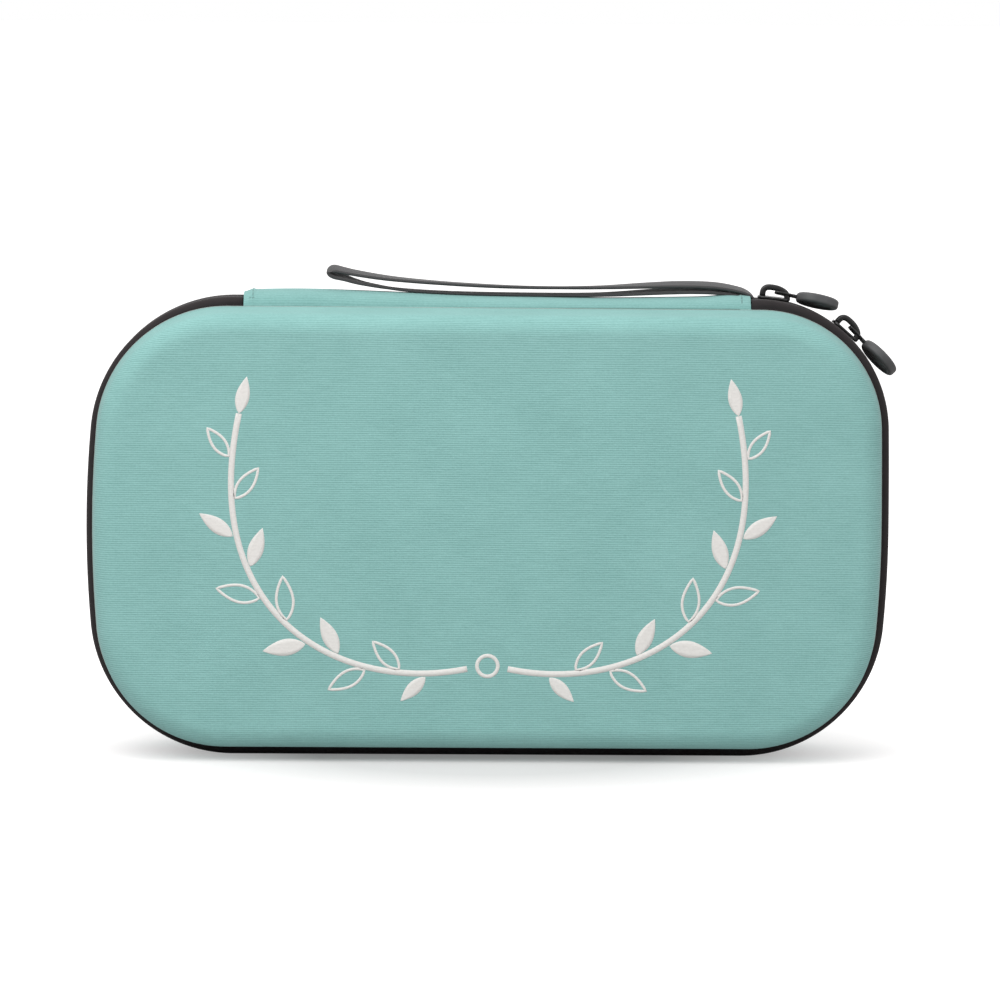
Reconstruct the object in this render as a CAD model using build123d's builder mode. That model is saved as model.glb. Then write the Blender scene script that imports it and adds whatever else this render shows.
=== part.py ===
"""Zipped hard case for a stethoscope: two moulded shells, a fabric spine and a two-slider zip.

The case stands on its long zip band.  X runs along its length, Y from the lid (front, -Y) to the
base (back, +Y) and Z up.  The origin is the middle of the face that it stands on.  Both halves are
drawn on the +Y side, and the lid's are mirrored to the -Y side.

A place in the zip band or in a shell wall is given by two numbers: its depth, the distance from
the middle plane Y = 0, and its inset, the distance inwards from the band's outer surface.
"""

import os
from math import atan, cos, degrees, radians, sin, tan

from build123d import *

# ---------------------------------------------------------------- whole case
CASE_LENGTH = 280.0  # over the zip band, along X
CASE_HEIGHT = 160.0  # over the zip band, along Z
CASE_DEPTH = 62.0  # over the two shell faces, along Y
CORNER_RADIUS = 50.0  # of the zip band's outline
SIDE_BULGE = 1.3  # how far each short side of the outline stands out beyond its corners
PARKING_RADIUS = 46.0  # of the upper right-hand corner, where the sliders park
PARKING_BULGE = 0.3  # of the short side, above its middle, beyond that corner

# ---------------------------------------------------------------- moulded shells
RIM_DEPTH = 9.5  # where a shell's cut rim lies
RIM_INSET = 3.2  # the shell's outer skin at its rim, inside the band
WALL_TAPER = 5.5  # degrees that the walls lean inwards
FACE_RADIUS = 7.0  # rounding from wall to face, on the outer skin
COVER_THICKNESS = 0.8  # woven cover
CORE_THICKNESS = 3.0  # moulded foam board

# ---------------------------------------------------------------- zip
TAPE_THICKNESS = 0.8  # the knitted lining is as thick, so that the binding lies flat on both
TAPE_BEND = 2.4  # outer radius where the tape turns in over the rim
TAPE_MARGIN = 6.5  # of tape sewn inside the wall, past the rim
CLOSED_EDGE = 0.15  # half the gap between the two tapes where the zip is closed
PARTED_EDGE = 1.25  # half the gap between them in the mouth between the sliders
COIL_WIDTH = 2.0
COIL_HEIGHT = 1.8
BINDING_WIDTH = 5.0
BINDING_THICKNESS = 0.6
BINDING_LAP = 3.5  # of the binding over the sewn tape

# ---------------------------------------------------------------- spine
SPINE_LEFT_GAP = 3.4  # from the left corner's tangent point to the spine's end
SPINE_RIGHT_GAP = 2.7  # the same at the right corner
END_GAP = 0.3  # between the spine's ends and the tape's
SPINE_HALF_WIDTH = 8.4
SPINE_SKIRT_INSET = 3.0  # lower edge of the spine's sides
SPINE_SHOULDER_INSET = 1.3  # where the sides turn into the arch
SPINE_COVER = 0.8
SPINE_LINER = 0.7
FLANGE_INSET = 3.2  # outer edge of the sewn flange on each shell
# share of the spine's length, from its left end, and the arch's rise above the band there
SPINE_ARCH = [(0.0, 2.2), (0.14, 2.5), (0.37, 1.0), (0.57, 0.1), (1.0, 0.0)]

# ---------------------------------------------------------------- sliders and pulls
SLIDER_ANGLES = {1: 7.5, 2: 41.0}  # degrees clockwise from the top of the parking corner
SLIDER_LENGTH = 12.0
SLIDER_WIDTH = 9.2
SLIDER_CORNER = 2.2
SLIDER_GAP = 0.25  # above the tape and beside the coil
OUTER_PLATE = 0.9
INNER_PLATE = 1.0
INNER_PLATE_INSET = 3.25  # top of the inner plate, clear of the curved coil
RAIL_INSET = 1.45  # top of the inner plate's rails, clear of the curved tape
RAIL_WIDTH = 1.1
POST_WIDTH = 2.0
POST_START = 1.5  # from the slider's middle towards the mouth
POST_LENGTH = 3.0
BRIDGE_THICKNESS = 1.5
BRIDGE_WIDTH = 2.2
BRIDGE_BEND = 1.1
# the bridge's middle line: along the slider, and above the tape
BRIDGE_ROUTE = [(-4.1, 0.0), (-3.7, 4.1), (1.2, 4.1), (4.4, 2.1), (4.9, 0.0)]
PIVOT_ALONG = 0.6
PIVOT_HEIGHT = 2.6
PULL_DROOP = 4.0  # degrees that the pull lies below the slider's own line
PULL_ROLL = 9.0  # degrees that the pull leans towards the base
LINK_THICKNESS = 1.0
LINK_RAIL = 0.85
LINK_GAP = 0.25  # between the link and the bridge that it straddles
LINK_EYE = 5.4  # length of the link's opening, from the pivot
LINK_TONGUE = 2.5  # of the link inside the disc
DISC_DIAMETER = 15.0
DISC_THICKNESS = 4.0
DISC_REACH = 14.6  # from the pivot to the disc's middle
DISC_ROUND = 1.3
DISC_DISH = 0.5  # depth of the finger dish in each face
DISC_DISH_RADIUS = 4.6

# ---------------------------------------------------------------- wrist strap
WRIST_WIDTH = 7.0
WRIST_THICKNESS = 1.4
# the strap's middle line, (x, z): out along the top of the spine, round its loop and back under
WRIST_ROUTE = [
    (91.8, 160.5), (90.5, 163.1), (83.5, 164.4), (70.0, 164.6), (54.0, 163.9), (36.0, 163.5),
    (14.0, 163.6), (-8.0, 164.3), (-28.0, 165.9), (-42.0, 168.2), (-50.5, 169.9), (-54.6, 169.5),
    (-55.2, 167.0), (-52.0, 165.8), (-42.0, 164.3), (-28.0, 162.7), (-8.0, 161.5), (14.0, 161.0),
    (36.0, 161.0), (54.0, 161.4), (68.0, 162.1), (80.0, 162.5), (87.2, 162.2), (90.1, 160.9),
]  # fmt: skip
WRIST_BEND_SHARE = 0.45  # of the shorter run that each bend takes

# ---------------------------------------------------------------- inside the lid
POCKET_SPACE = 7.0  # between the lid's lining and the mesh
POCKET_TOP = 104.0
MESH_THICKNESS = 0.8
POCKET_BAND_WIDTH = 9.0
POCKET_BAND_THICKNESS = 1.6

# ---------------------------------------------------------------- inside the base
TUBE_STRAP_WIDTH = 25.0
TUBE_STRAP_THICKNESS = 1.2
TUBE_STRAP_CLEAR = 12.0  # height of the space under the strap
TUBE_STRAP_SPAN = 60.0  # between the two sewn ends
TUBE_STRAP_TAB = 9.0  # length of each sewn end
TUBE_STRAP_OVERLAP = 24.0
TUBE_STRAP_BEND = 3.5
TUBE_STRAP_SLOPE = 7.0  # height taken by each sloping end
PATCH_THICKNESS = 0.9
PATCH_LENGTH = 20.0
PATCH_EDGE = 1.5  # of strap that shows at each side of a patch

# ---------------------------------------------------------------- worked out from the above
FACE_DEPTH = CASE_DEPTH / 2
MIDDLE_HEIGHT = CASE_HEIGHT / 2
SHELL_THICKNESS = COVER_THICKNESS + CORE_THICKNESS
LINED_THICKNESS = SHELL_THICKNESS + TAPE_THICKNESS
MARGIN_END = RIM_DEPTH + TAPE_MARGIN
CORNER_X = CASE_LENGTH / 2 - CORNER_RADIUS - SIDE_BULGE
SIDE_RISE = MIDDLE_HEIGHT - CORNER_RADIUS  # from the middle to a corner's centre
SIDE_TURN = 2 * degrees(atan(SIDE_BULGE / SIDE_RISE))  # turn of half a short side
SIDE_RADIUS = CORNER_RADIUS + SIDE_RISE / sin(radians(SIDE_TURN))
PARKING_X = CASE_LENGTH / 2 - PARKING_RADIUS - PARKING_BULGE
PARKING_Z = CASE_HEIGHT - PARKING_RADIUS
PARKING_RISE = MIDDLE_HEIGHT - PARKING_RADIUS
PARKING_TURN = 2 * degrees(atan(PARKING_BULGE / PARKING_RISE))
PARKING_SIDE_RADIUS = PARKING_RADIUS + PARKING_RISE / sin(radians(PARKING_TURN))
SPINE_LEFT = -CORNER_X + SPINE_LEFT_GAP
SPINE_RIGHT = PARKING_X - SPINE_RIGHT_GAP
BINDING_START = MARGIN_END - BINDING_LAP
LINING_FACE = FACE_DEPTH - LINED_THICKNESS
MESH_DEPTH = LINING_FACE - POCKET_SPACE - MESH_THICKNESS / 2
TONGUE_END = DISC_REACH - DISC_DIAMETER / 2 + LINK_TONGUE
HALVES = ("base", "lid")


def save(piece, name):
    """Label a finished piece and write its STEP file."""
    piece.label = name
    export_step(piece, f"parts/{name}.step")


def wall_inset(layer, depth):
    """Inset, at a depth, of the wall surface that lies `layer` inside the outer skin."""
    taper = radians(WALL_TAPER)
    return RIM_INSET + layer / cos(taper) + (depth - RIM_DEPTH) * tan(taper)


def half_plane(depth):
    """Plane across the base half at a depth, facing its shell."""
    return Plane(origin=(0, depth, MIDDLE_HEIGHT), x_dir=(-1, 0, 0), z_dir=(0, 1, 0))


def follow(edge, radius, turn):
    """Arc that goes on from an edge's end and turns left."""
    return JernArc(edge @ 1, edge % 1, radius, turn)


def follow_sides(upper, inset):
    """Go on from the outline's upper edge, down the left side, along and up to the parking corner.

    The long sides are straight.  Each short side is a pair of wide arcs, tangent to its corners.
    """
    corner = CORNER_RADIUS - inset
    side = SIDE_RADIUS - inset
    left_top = follow(upper, corner, 90 - SIDE_TURN)
    left = follow(left_top, side, 2 * SIDE_TURN)
    left_bottom = follow(left, corner, 90 - SIDE_TURN)
    lower = Line(left_bottom @ 1, left_bottom @ 1 + Vector(2 * CORNER_X, 0))
    right_bottom = follow(lower, corner, 90 - SIDE_TURN)
    right_low = follow(right_bottom, side, SIDE_TURN)
    return follow(right_low, PARKING_SIDE_RADIUS - inset, PARKING_TURN)


def outline(inset):
    """The band's outline `inset` inside it, about the case's middle, seen from the base's side."""
    top = CASE_HEIGHT / 2 - inset
    with BuildSketch() as shape:
        with BuildLine():
            upper = Line((PARKING_X, top), (-CORNER_X, top))
            right_high = follow_sides(upper, inset)
            follow(right_high, PARKING_RADIUS - inset, 90 - PARKING_TURN)
        make_face()
        mirror(about=Plane.YZ, mode=Mode.REPLACE)
    return shape.sketch


def dome(layer, start):
    """Solid of one half's dome, `layer` inside its outer skin, from depth `start` to its face."""
    with BuildPart() as blank:
        with BuildSketch(half_plane(start)):
            add(outline(wall_inset(layer, start)))
        extrude(amount=FACE_DEPTH - layer - start, taper=WALL_TAPER)
        fillet(blank.faces().sort_by(Axis.Y)[-1].edges(), radius=FACE_RADIUS - layer)
    return blank.part


def to_half(half):
    """Turn the piece being built to the lid's side, if it is the lid's."""
    if half == "lid":
        mirror(about=Plane.XZ, mode=Mode.REPLACE)


def main_zip_route():
    """The band's outline from the spine's left end, down and along, to the parking corner."""
    upper = Line((SPINE_LEFT - END_GAP, CASE_HEIGHT), (-CORNER_X, CASE_HEIGHT))
    follow_sides(upper, 0)


def section_plane(line):
    """Plane across the start of a route, with depth as its x and inset as its y."""
    return Plane(origin=line @ 0, x_dir=(0, 1, 0), z_dir=line % 0)


def tape_section(edge):
    """Zip tape: flat band, bend over the rim, and the margin sewn inside the wall."""
    bend_depth = RIM_DEPTH - TAPE_BEND
    back = RIM_DEPTH - TAPE_THICKNESS
    sewn = SHELL_THICKNESS + TAPE_THICKNESS
    with BuildSketch() as section:
        with BuildLine():
            CenterArc((bend_depth, TAPE_BEND), TAPE_BEND, -90, 90)
            Polyline(
                (RIM_DEPTH, TAPE_BEND),
                (RIM_DEPTH, wall_inset(SHELL_THICKNESS, RIM_DEPTH)),
                (MARGIN_END, wall_inset(SHELL_THICKNESS, MARGIN_END)),
                (MARGIN_END, wall_inset(sewn, MARGIN_END)),
                (back, wall_inset(sewn, back)),
                (back, TAPE_BEND),
            )
            CenterArc((bend_depth, TAPE_BEND), TAPE_BEND - TAPE_THICKNESS, -90, 90)
            Polyline(
                (bend_depth, TAPE_THICKNESS), (edge, TAPE_THICKNESS), (edge, 0), (bend_depth, 0)
            )
        make_face()
    return section.sketch


def coil_section(edge):
    """One side's row of zip coil, on the inside of the tape's edge."""
    with BuildSketch() as section:
        with Locations((edge + COIL_WIDTH / 2, TAPE_THICKNESS + COIL_HEIGHT / 2)):
            RectangleRounded(COIL_WIDTH, COIL_HEIGHT, COIL_HEIGHT / 4)
    return section.sketch


def flange_section():
    """Edge of the spine's fabric, turned in over a shell's rim and sewn inside the wall."""
    back = RIM_DEPTH - TAPE_THICKNESS
    sewn = SHELL_THICKNESS + TAPE_THICKNESS
    with BuildSketch() as section:
        with BuildLine():
            Polyline(
                (back, FLANGE_INSET),
                (RIM_DEPTH, FLANGE_INSET),
                (RIM_DEPTH, wall_inset(SHELL_THICKNESS, RIM_DEPTH)),
                (MARGIN_END, wall_inset(SHELL_THICKNESS, MARGIN_END)),
                (MARGIN_END, wall_inset(sewn, MARGIN_END)),
                (back, wall_inset(sewn, back)),
                close=True,
            )
        make_face()
    return section.sketch


def corner_stretches():
    """Stretches of zip round the parking corner to the spine, with the tape edge in each.

    The zip is closed outside the two sliders and parted between their posts.
    """
    lead = degrees((POST_START - SLIDER_GAP) / PARKING_RADIUS)
    first = 90 - SLIDER_ANGLES[1] - lead
    second = 90 - SLIDER_ANGLES[2] + lead
    stretches = []
    for low, high, edge in (
        (PARKING_TURN, second, CLOSED_EDGE),
        (second, first, PARTED_EDGE),
        (first, 90, CLOSED_EDGE),
    ):
        with BuildLine(Plane.XZ) as stretch:
            CenterArc((PARKING_X, PARKING_Z), PARKING_RADIUS, low, high - low)
            if high == 90:
                Line((PARKING_X, CASE_HEIGHT), (SPINE_RIGHT + END_GAP, CASE_HEIGHT))
        stretches.append((stretch.line, edge))
    return stretches


def slider_plane(angle):
    """Plane on the band at an angle of the corner: x along the zip, y across it, z outwards."""
    turn = radians(angle)
    return Plane(
        origin=(
            PARKING_X + PARKING_RADIUS * sin(turn), 0, PARKING_Z + PARKING_RADIUS * cos(turn)
        ),
        x_dir=(cos(turn), 0, -sin(turn)),
        z_dir=(sin(turn), 0, cos(turn)),
    )


def pull_plane(angle):
    """Plane of a slider's pull: origin on the pivot, x towards the disc, z outwards."""
    slider = slider_plane(angle)
    droop = radians(PULL_DROOP)
    roll = radians(PULL_ROLL)
    upright = slider.x_dir * sin(droop) + slider.z_dir * cos(droop)
    return Plane(
        origin=slider.origin + slider.x_dir * PIVOT_ALONG + slider.z_dir * PIVOT_HEIGHT,
        x_dir=slider.x_dir * cos(droop) - slider.z_dir * sin(droop),
        z_dir=upright * cos(roll) + slider.y_dir * sin(roll),
    )


def side_plane(plane):
    """Plane along the case's middle with a slider's or pull's x, and its outward way as y."""
    return Plane(origin=plane.origin, x_dir=plane.x_dir, z_dir=-plane.y_dir)


def bend_radii(route, share):
    """Radius of each bend of a route, taking `share` of the shorter of its two runs."""
    points = [Vector(*point) for point in route]
    radii = []
    for before, corner, after in zip(points, points[1:], points[2:]):
        run_in = corner - before
        run_out = after - corner
        turn = radians(run_in.get_angle(run_out))
        radii.append(share * min(run_in.length, run_out.length) / tan(turn / 2))
    return radii


def arch_blank(layer):
    """Solid under the spine's arch, `layer` inside its outer surface."""
    half_width = SPINE_HALF_WIDTH - layer
    skirt = CASE_HEIGHT - SPINE_SKIRT_INSET
    shoulder = CASE_HEIGHT - SPINE_SHOULDER_INSET - layer
    with BuildPart() as blank:
        for share, rise in SPINE_ARCH:
            station = SPINE_LEFT + share * (SPINE_RIGHT - SPINE_LEFT)
            with BuildSketch(Plane.YZ.offset(station)):
                with BuildLine():
                    Polyline(
                        (-half_width, shoulder),
                        (-half_width, skirt),
                        (half_width, skirt),
                        (half_width, shoulder),
                    )
                    ThreePointArc(
                        (half_width, shoulder),
                        (0, CASE_HEIGHT + rise - layer),
                        (-half_width, shoulder),
                    )
                make_face()
        loft(ruled=True)
    return blank.part


os.makedirs("parts", exist_ok=True)

# ================================================================ shells
outer_dome = dome(0, RIM_DEPTH)
core_dome = dome(COVER_THICKNESS, RIM_DEPTH)
board_dome = dome(SHELL_THICKNESS, RIM_DEPTH)
lining_dome = dome(SHELL_THICKNESS, MARGIN_END)
cavity_dome = dome(LINED_THICKNESS, MARGIN_END)

for half in HALVES:
    with BuildPart() as cover:
        add(outer_dome)
        add(core_dome, mode=Mode.SUBTRACT)
        to_half(half)
    save(cover.part, f"{half}_cover")

    with BuildPart() as core:
        add(core_dome)
        add(board_dome, mode=Mode.SUBTRACT)
        to_half(half)
    save(core.part, f"{half}_core")

    with BuildPart() as lining:
        add(lining_dome)
        add(cavity_dome, mode=Mode.SUBTRACT)
        to_half(half)
    save(lining.part, f"{half}_lining")

# ================================================================ zip
parking_zip = corner_stretches()

for half in HALVES:
    with BuildPart() as tape:
        with BuildLine(Plane.XZ) as tape_route:
            main_zip_route()
        with BuildSketch(section_plane(tape_route.line)):
            add(tape_section(CLOSED_EDGE))
        sweep()
        to_half(half)
    save(tape.part, f"{half}_zip_tape")

    with BuildPart() as coil:
        with BuildLine(Plane.XZ) as coil_route:
            main_zip_route()
        with BuildSketch(section_plane(coil_route.line)):
            add(coil_section(CLOSED_EDGE))
        sweep()
        to_half(half)
    save(coil.part, f"{half}_zip_coil")

    with BuildPart() as corner_tape:
        for stretch, edge in parking_zip:
            with BuildSketch(section_plane(stretch)) as section:
                add(tape_section(edge))
            sweep(section.sketch, path=stretch)
        to_half(half)
    save(corner_tape.part, f"{half}_zip_tape_corner")

    with BuildPart() as corner_coil:
        for stretch, edge in parking_zip:
            with BuildSketch(section_plane(stretch)) as section:
                add(coil_section(edge))
            sweep(section.sketch, path=stretch)
        to_half(half)
    save(corner_coil.part, f"{half}_zip_coil_corner")

    with BuildPart() as binding:
        with BuildSketch(half_plane(BINDING_START)):
            add(outline(wall_inset(LINED_THICKNESS, BINDING_START)))
        extrude(amount=BINDING_WIDTH, taper=WALL_TAPER)
        with BuildSketch(half_plane(BINDING_START)):
            add(outline(wall_inset(LINED_THICKNESS + BINDING_THICKNESS, BINDING_START)))
        extrude(amount=BINDING_WIDTH, taper=WALL_TAPER, mode=Mode.SUBTRACT)
        to_half(half)
    save(binding.part, f"{half}_binding")

# ================================================================ spine
for half in HALVES:
    with BuildPart() as flange:
        with BuildLine(Plane.XZ) as flange_route:
            Line((SPINE_RIGHT + END_GAP, CASE_HEIGHT), (SPINE_LEFT - END_GAP, CASE_HEIGHT))
        with BuildSketch(section_plane(flange_route.line)):
            add(flange_section())
        sweep()
        to_half(half)
    save(flange.part, f"{half}_spine_flange")

outer_arch = arch_blank(0)
middle_arch = arch_blank(SPINE_COVER)
inner_arch = arch_blank(SPINE_COVER + SPINE_LINER)

with BuildPart() as spine_cover:
    add(outer_arch)
    add(middle_arch, mode=Mode.SUBTRACT)
save(spine_cover.part, "spine_cover")

with BuildPart() as spine_liner:
    add(middle_arch)
    add(inner_arch, mode=Mode.SUBTRACT)
save(spine_liner.part, "spine_liner")

# ================================================================ sliders and pulls
for number, angle in SLIDER_ANGLES.items():
    track = slider_plane(angle)
    mouth = 1 if number == 1 else -1
    with BuildPart() as slider:
        with BuildSketch(track.offset(SLIDER_GAP)):
            RectangleRounded(SLIDER_LENGTH, SLIDER_WIDTH, SLIDER_CORNER)
        extrude(amount=OUTER_PLATE)
        with BuildSketch(track.offset(-INNER_PLATE_INSET)):
            RectangleRounded(SLIDER_LENGTH, SLIDER_WIDTH, SLIDER_CORNER)
        extrude(amount=-INNER_PLATE)
        with BuildSketch(track.offset(-INNER_PLATE_INSET)):
            with GridLocations(0, SLIDER_WIDTH - RAIL_WIDTH, 1, 2):
                Rectangle(SLIDER_LENGTH - 2 * SLIDER_CORNER, RAIL_WIDTH)
        extrude(amount=INNER_PLATE_INSET - RAIL_INSET)
        with BuildSketch(track.offset(-INNER_PLATE_INSET)):
            with Locations((mouth * (POST_START + POST_LENGTH / 2), 0)):
                RectangleRounded(POST_LENGTH, POST_WIDTH, POST_WIDTH / 3)
        extrude(amount=INNER_PLATE_INSET + SLIDER_GAP)
    save(slider.part, f"slider_{number}_body")

    plate_top = SLIDER_GAP + OUTER_PLATE
    with BuildPart() as bridge:
        with BuildSketch(side_plane(track)):
            with BuildLine():
                FilletPolyline(*BRIDGE_ROUTE, radius=BRIDGE_BEND)
            trace(line_width=BRIDGE_THICKNESS)
        extrude(amount=BRIDGE_WIDTH / 2, both=True)
        split(bisect_by=track.offset(plate_top), keep=Keep.TOP)
    save(bridge.part, f"slider_{number}_bridge")

    pull = pull_plane(angle)
    link_width = BRIDGE_WIDTH + 2 * (LINK_GAP + LINK_RAIL)
    with BuildPart() as link:
        with BuildSketch(side_plane(pull)):
            Circle(LINK_THICKNESS / 2)
        extrude(amount=link_width / 2, both=True)
        with BuildSketch(pull.offset(-LINK_THICKNESS / 2)):
            with Locations((LINK_EYE / 2, 0)):
                Rectangle(LINK_EYE, link_width)
                Rectangle(LINK_EYE, link_width - 2 * LINK_RAIL, mode=Mode.SUBTRACT)
            with Locations(((LINK_EYE + TONGUE_END) / 2, 0)):
                Rectangle(TONGUE_END - LINK_EYE, link_width)
        extrude(amount=LINK_THICKNESS)
    save(link.part, f"pull_{number}_link")

    disc_middle = pull.origin + pull.x_dir * DISC_REACH
    disc_plane = Plane(origin=disc_middle, x_dir=pull.x_dir, z_dir=pull.z_dir)
    with BuildPart() as disc:
        with BuildSketch(disc_plane.offset(-DISC_THICKNESS / 2)):
            Circle(DISC_DIAMETER / 2)
        extrude(amount=DISC_THICKNESS)
        fillet(disc.edges().filter_by(GeomType.CIRCLE), radius=DISC_ROUND)
        for way in (-1, 1):
            with BuildSketch(disc_plane.offset(way * DISC_THICKNESS / 2)):
                Circle(DISC_DISH_RADIUS)
            extrude(amount=-way * DISC_DISH, mode=Mode.SUBTRACT)
        add(link.part, mode=Mode.SUBTRACT)
    save(disc.part, f"pull_{number}_disc")

# ================================================================ wrist strap
wrist_radii = bend_radii(WRIST_ROUTE, WRIST_BEND_SHARE)
print("wrist strap bends, mm:", [round(radius, 1) for radius in wrist_radii])
with BuildPart() as wrist_strap:
    with BuildSketch(Plane.XZ):
        with BuildLine() as wrist_route:
            FilletPolyline(*WRIST_ROUTE, radius=wrist_radii)
        trace(line_width=WRIST_THICKNESS)
    extrude(amount=WRIST_WIDTH / 2, both=True)
wrist_length = sum(edge.length for edge in wrist_route.edges())
print("wrist strap length, mm:", round(wrist_length, 1))
print("wrist strap section times length:", round(wrist_length * WRIST_WIDTH * WRIST_THICKNESS))
print("wrist strap volume:", round(wrist_strap.part.volume))
save(wrist_strap.part, "wrist_strap")

# ================================================================ mesh pocket in the lid
with BuildPart() as mesh_pocket:
    add(cavity_dome)
    with Locations((0, MESH_DEPTH, POCKET_TOP / 2)):
        Box(CASE_LENGTH, MESH_THICKNESS, POCKET_TOP, mode=Mode.INTERSECT)
    to_half("lid")
save(mesh_pocket.part, "lid_mesh_pocket")

with BuildPart() as pocket_band:
    add(cavity_dome)
    with Locations((0, MESH_DEPTH, POCKET_TOP + POCKET_BAND_WIDTH / 2)):
        Box(CASE_LENGTH, POCKET_BAND_THICKNESS, POCKET_BAND_WIDTH, mode=Mode.INTERSECT)
    to_half("lid")
save(pocket_band.part, "lid_pocket_band")

# ================================================================ tube strap in the base
strap_foot = LINING_FACE - TUBE_STRAP_THICKNESS / 2
lower_run = LINING_FACE - TUBE_STRAP_CLEAR - TUBE_STRAP_THICKNESS / 2
upper_run = lower_run - TUBE_STRAP_THICKNESS - 2 * PATCH_THICKNESS
low_end = MIDDLE_HEIGHT - TUBE_STRAP_SPAN / 2
high_end = MIDDLE_HEIGHT + TUBE_STRAP_SPAN / 2
lap = TUBE_STRAP_OVERLAP / 2

for name, run, foot, way in (
    ("tube_strap_lower", lower_run, low_end, 1),
    ("tube_strap_upper", upper_run, high_end, -1),
):
    with BuildPart() as tube_strap:
        with BuildSketch(Plane.YZ):
            with BuildLine():
                FilletPolyline(
                    (strap_foot, foot - way * TUBE_STRAP_TAB),
                    (strap_foot, foot),
                    (run, foot + way * TUBE_STRAP_SLOPE),
                    (run, MIDDLE_HEIGHT + way * lap),
                    radius=TUBE_STRAP_BEND,
                )
            trace(line_width=TUBE_STRAP_THICKNESS)
        extrude(amount=TUBE_STRAP_WIDTH / 2, both=True)
    save(tube_strap.part, name)

patch_face = lower_run - TUBE_STRAP_THICKNESS / 2
for name, near in (("tube_strap_loop_patch", 0), ("tube_strap_hook_patch", 1)):
    with BuildPart() as patch:
        with BuildSketch(Plane.XZ.offset(PATCH_THICKNESS * near - patch_face)):
            with Locations((0, MIDDLE_HEIGHT)):
                RectangleRounded(TUBE_STRAP_WIDTH - 2 * PATCH_EDGE, PATCH_LENGTH, PATCH_EDGE)
        extrude(amount=PATCH_THICKNESS)
    save(patch.part, name)
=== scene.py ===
"""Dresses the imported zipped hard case: fabric, zip, sliders, wrist strap and inside of both shells.

X runs along the case, Y from the lid (front, -Y) to the base (back, +Y) and Z up, all in metres.
A place in a shell wall or in the zip band is two numbers: its depth, the distance from the middle
plane Y = 0, and its inset, the distance inwards from the outline of the zip band.
"""

import math

import bmesh
import bpy
import numpy as np
from mathutils import Matrix, Vector


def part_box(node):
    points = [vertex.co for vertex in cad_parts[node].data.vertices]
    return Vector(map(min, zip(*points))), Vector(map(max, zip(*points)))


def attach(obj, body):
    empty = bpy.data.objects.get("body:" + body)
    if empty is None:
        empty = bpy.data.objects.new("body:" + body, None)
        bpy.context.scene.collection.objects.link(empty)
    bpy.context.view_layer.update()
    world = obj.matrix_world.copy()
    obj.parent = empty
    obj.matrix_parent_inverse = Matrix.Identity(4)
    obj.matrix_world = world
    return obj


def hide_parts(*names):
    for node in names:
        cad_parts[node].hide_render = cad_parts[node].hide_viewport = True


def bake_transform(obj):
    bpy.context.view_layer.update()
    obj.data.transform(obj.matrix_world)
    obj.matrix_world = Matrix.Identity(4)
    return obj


bl_info = {
    "name": "Zipped stethoscope case",
    "version": (1, 0, 0),
    "blender": (4, 5, 0),
    "location": "View3D > Sidebar > Case",
    "description": "Builds the fabric, zip, pulls, strap and inside of a zipped hard case",
    "category": "Object",
}

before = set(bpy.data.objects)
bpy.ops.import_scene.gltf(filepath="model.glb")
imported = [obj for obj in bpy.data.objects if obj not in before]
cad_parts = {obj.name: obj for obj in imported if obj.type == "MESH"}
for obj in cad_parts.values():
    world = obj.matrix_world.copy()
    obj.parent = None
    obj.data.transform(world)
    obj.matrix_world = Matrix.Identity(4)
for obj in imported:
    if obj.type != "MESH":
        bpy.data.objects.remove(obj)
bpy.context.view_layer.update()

MM = 0.001
SIDES = {"base": 1, "lid": -1}


def whole(length):
    """A length of the frame to a tenth of a millimetre, because its arcs are cut into chords."""
    return round(length, 4)


TAPE_LOW, TAPE_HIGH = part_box("base_zip_tape")
COVER_LOW, COVER_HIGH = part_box("base_cover")
SPINE_LOW, SPINE_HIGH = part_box("spine_cover")
BINDING_LOW, BINDING_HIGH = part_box("base_binding")
POCKET_LOW, POCKET_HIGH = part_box("lid_mesh_pocket")
POCKET_BAND_LOW, POCKET_BAND_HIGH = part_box("lid_pocket_band")
LOWER_STRAP_LOW, LOWER_STRAP_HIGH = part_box("tube_strap_lower")
UPPER_STRAP_LOW, UPPER_STRAP_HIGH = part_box("tube_strap_upper")

CASE_LENGTH = round(TAPE_HIGH.x - TAPE_LOW.x, 3)
CASE_HEIGHT = whole(TAPE_HIGH.z)
FACE_DEPTH = whole(COVER_HIGH.y)
RIM_DEPTH = whole(COVER_LOW.y)
MARGIN_DEPTH = whole(TAPE_HIGH.y)  # where the tape's sewn margin ends
RIM_INSET = whole(CASE_HEIGHT - COVER_HIGH.z)
SPINE_LEFT = whole(SPINE_LOW.x)
SPINE_RIGHT = whole(SPINE_HIGH.x)
POCKET_DEPTH = -(POCKET_LOW.y + POCKET_HIGH.y) / 2
POCKET_TOP = whole(POCKET_HIGH.z)


# ---------------------------------------------------------------- settings
def size(name, millimetres, description):
    """A length that a user may change."""
    return bpy.props.FloatProperty(
        name=name, default=millimetres * MM, description=description, unit="LENGTH", precision=5
    )


def angle(name, degrees, description):
    """An angle that a user may change."""
    return bpy.props.FloatProperty(
        name=name, default=math.radians(degrees), description=description, subtype="ANGLE"
    )


def colour(name, red, green, blue, description):
    """A colour, given as screen values from 0 to 255 and kept as light."""
    light = [channel_light(channel) for channel in (red, green, blue)]
    return bpy.props.FloatVectorProperty(
        name=name, default=light, description=description, subtype="COLOR", min=0, max=1
    )


def channel_light(channel):
    """Light of a screen value from 0 to 255, by the standard screen curve."""
    share = channel / 255
    if share <= 0.04045:
        return share / 12.92
    return ((share + 0.055) / 1.055) ** 2.4


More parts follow.
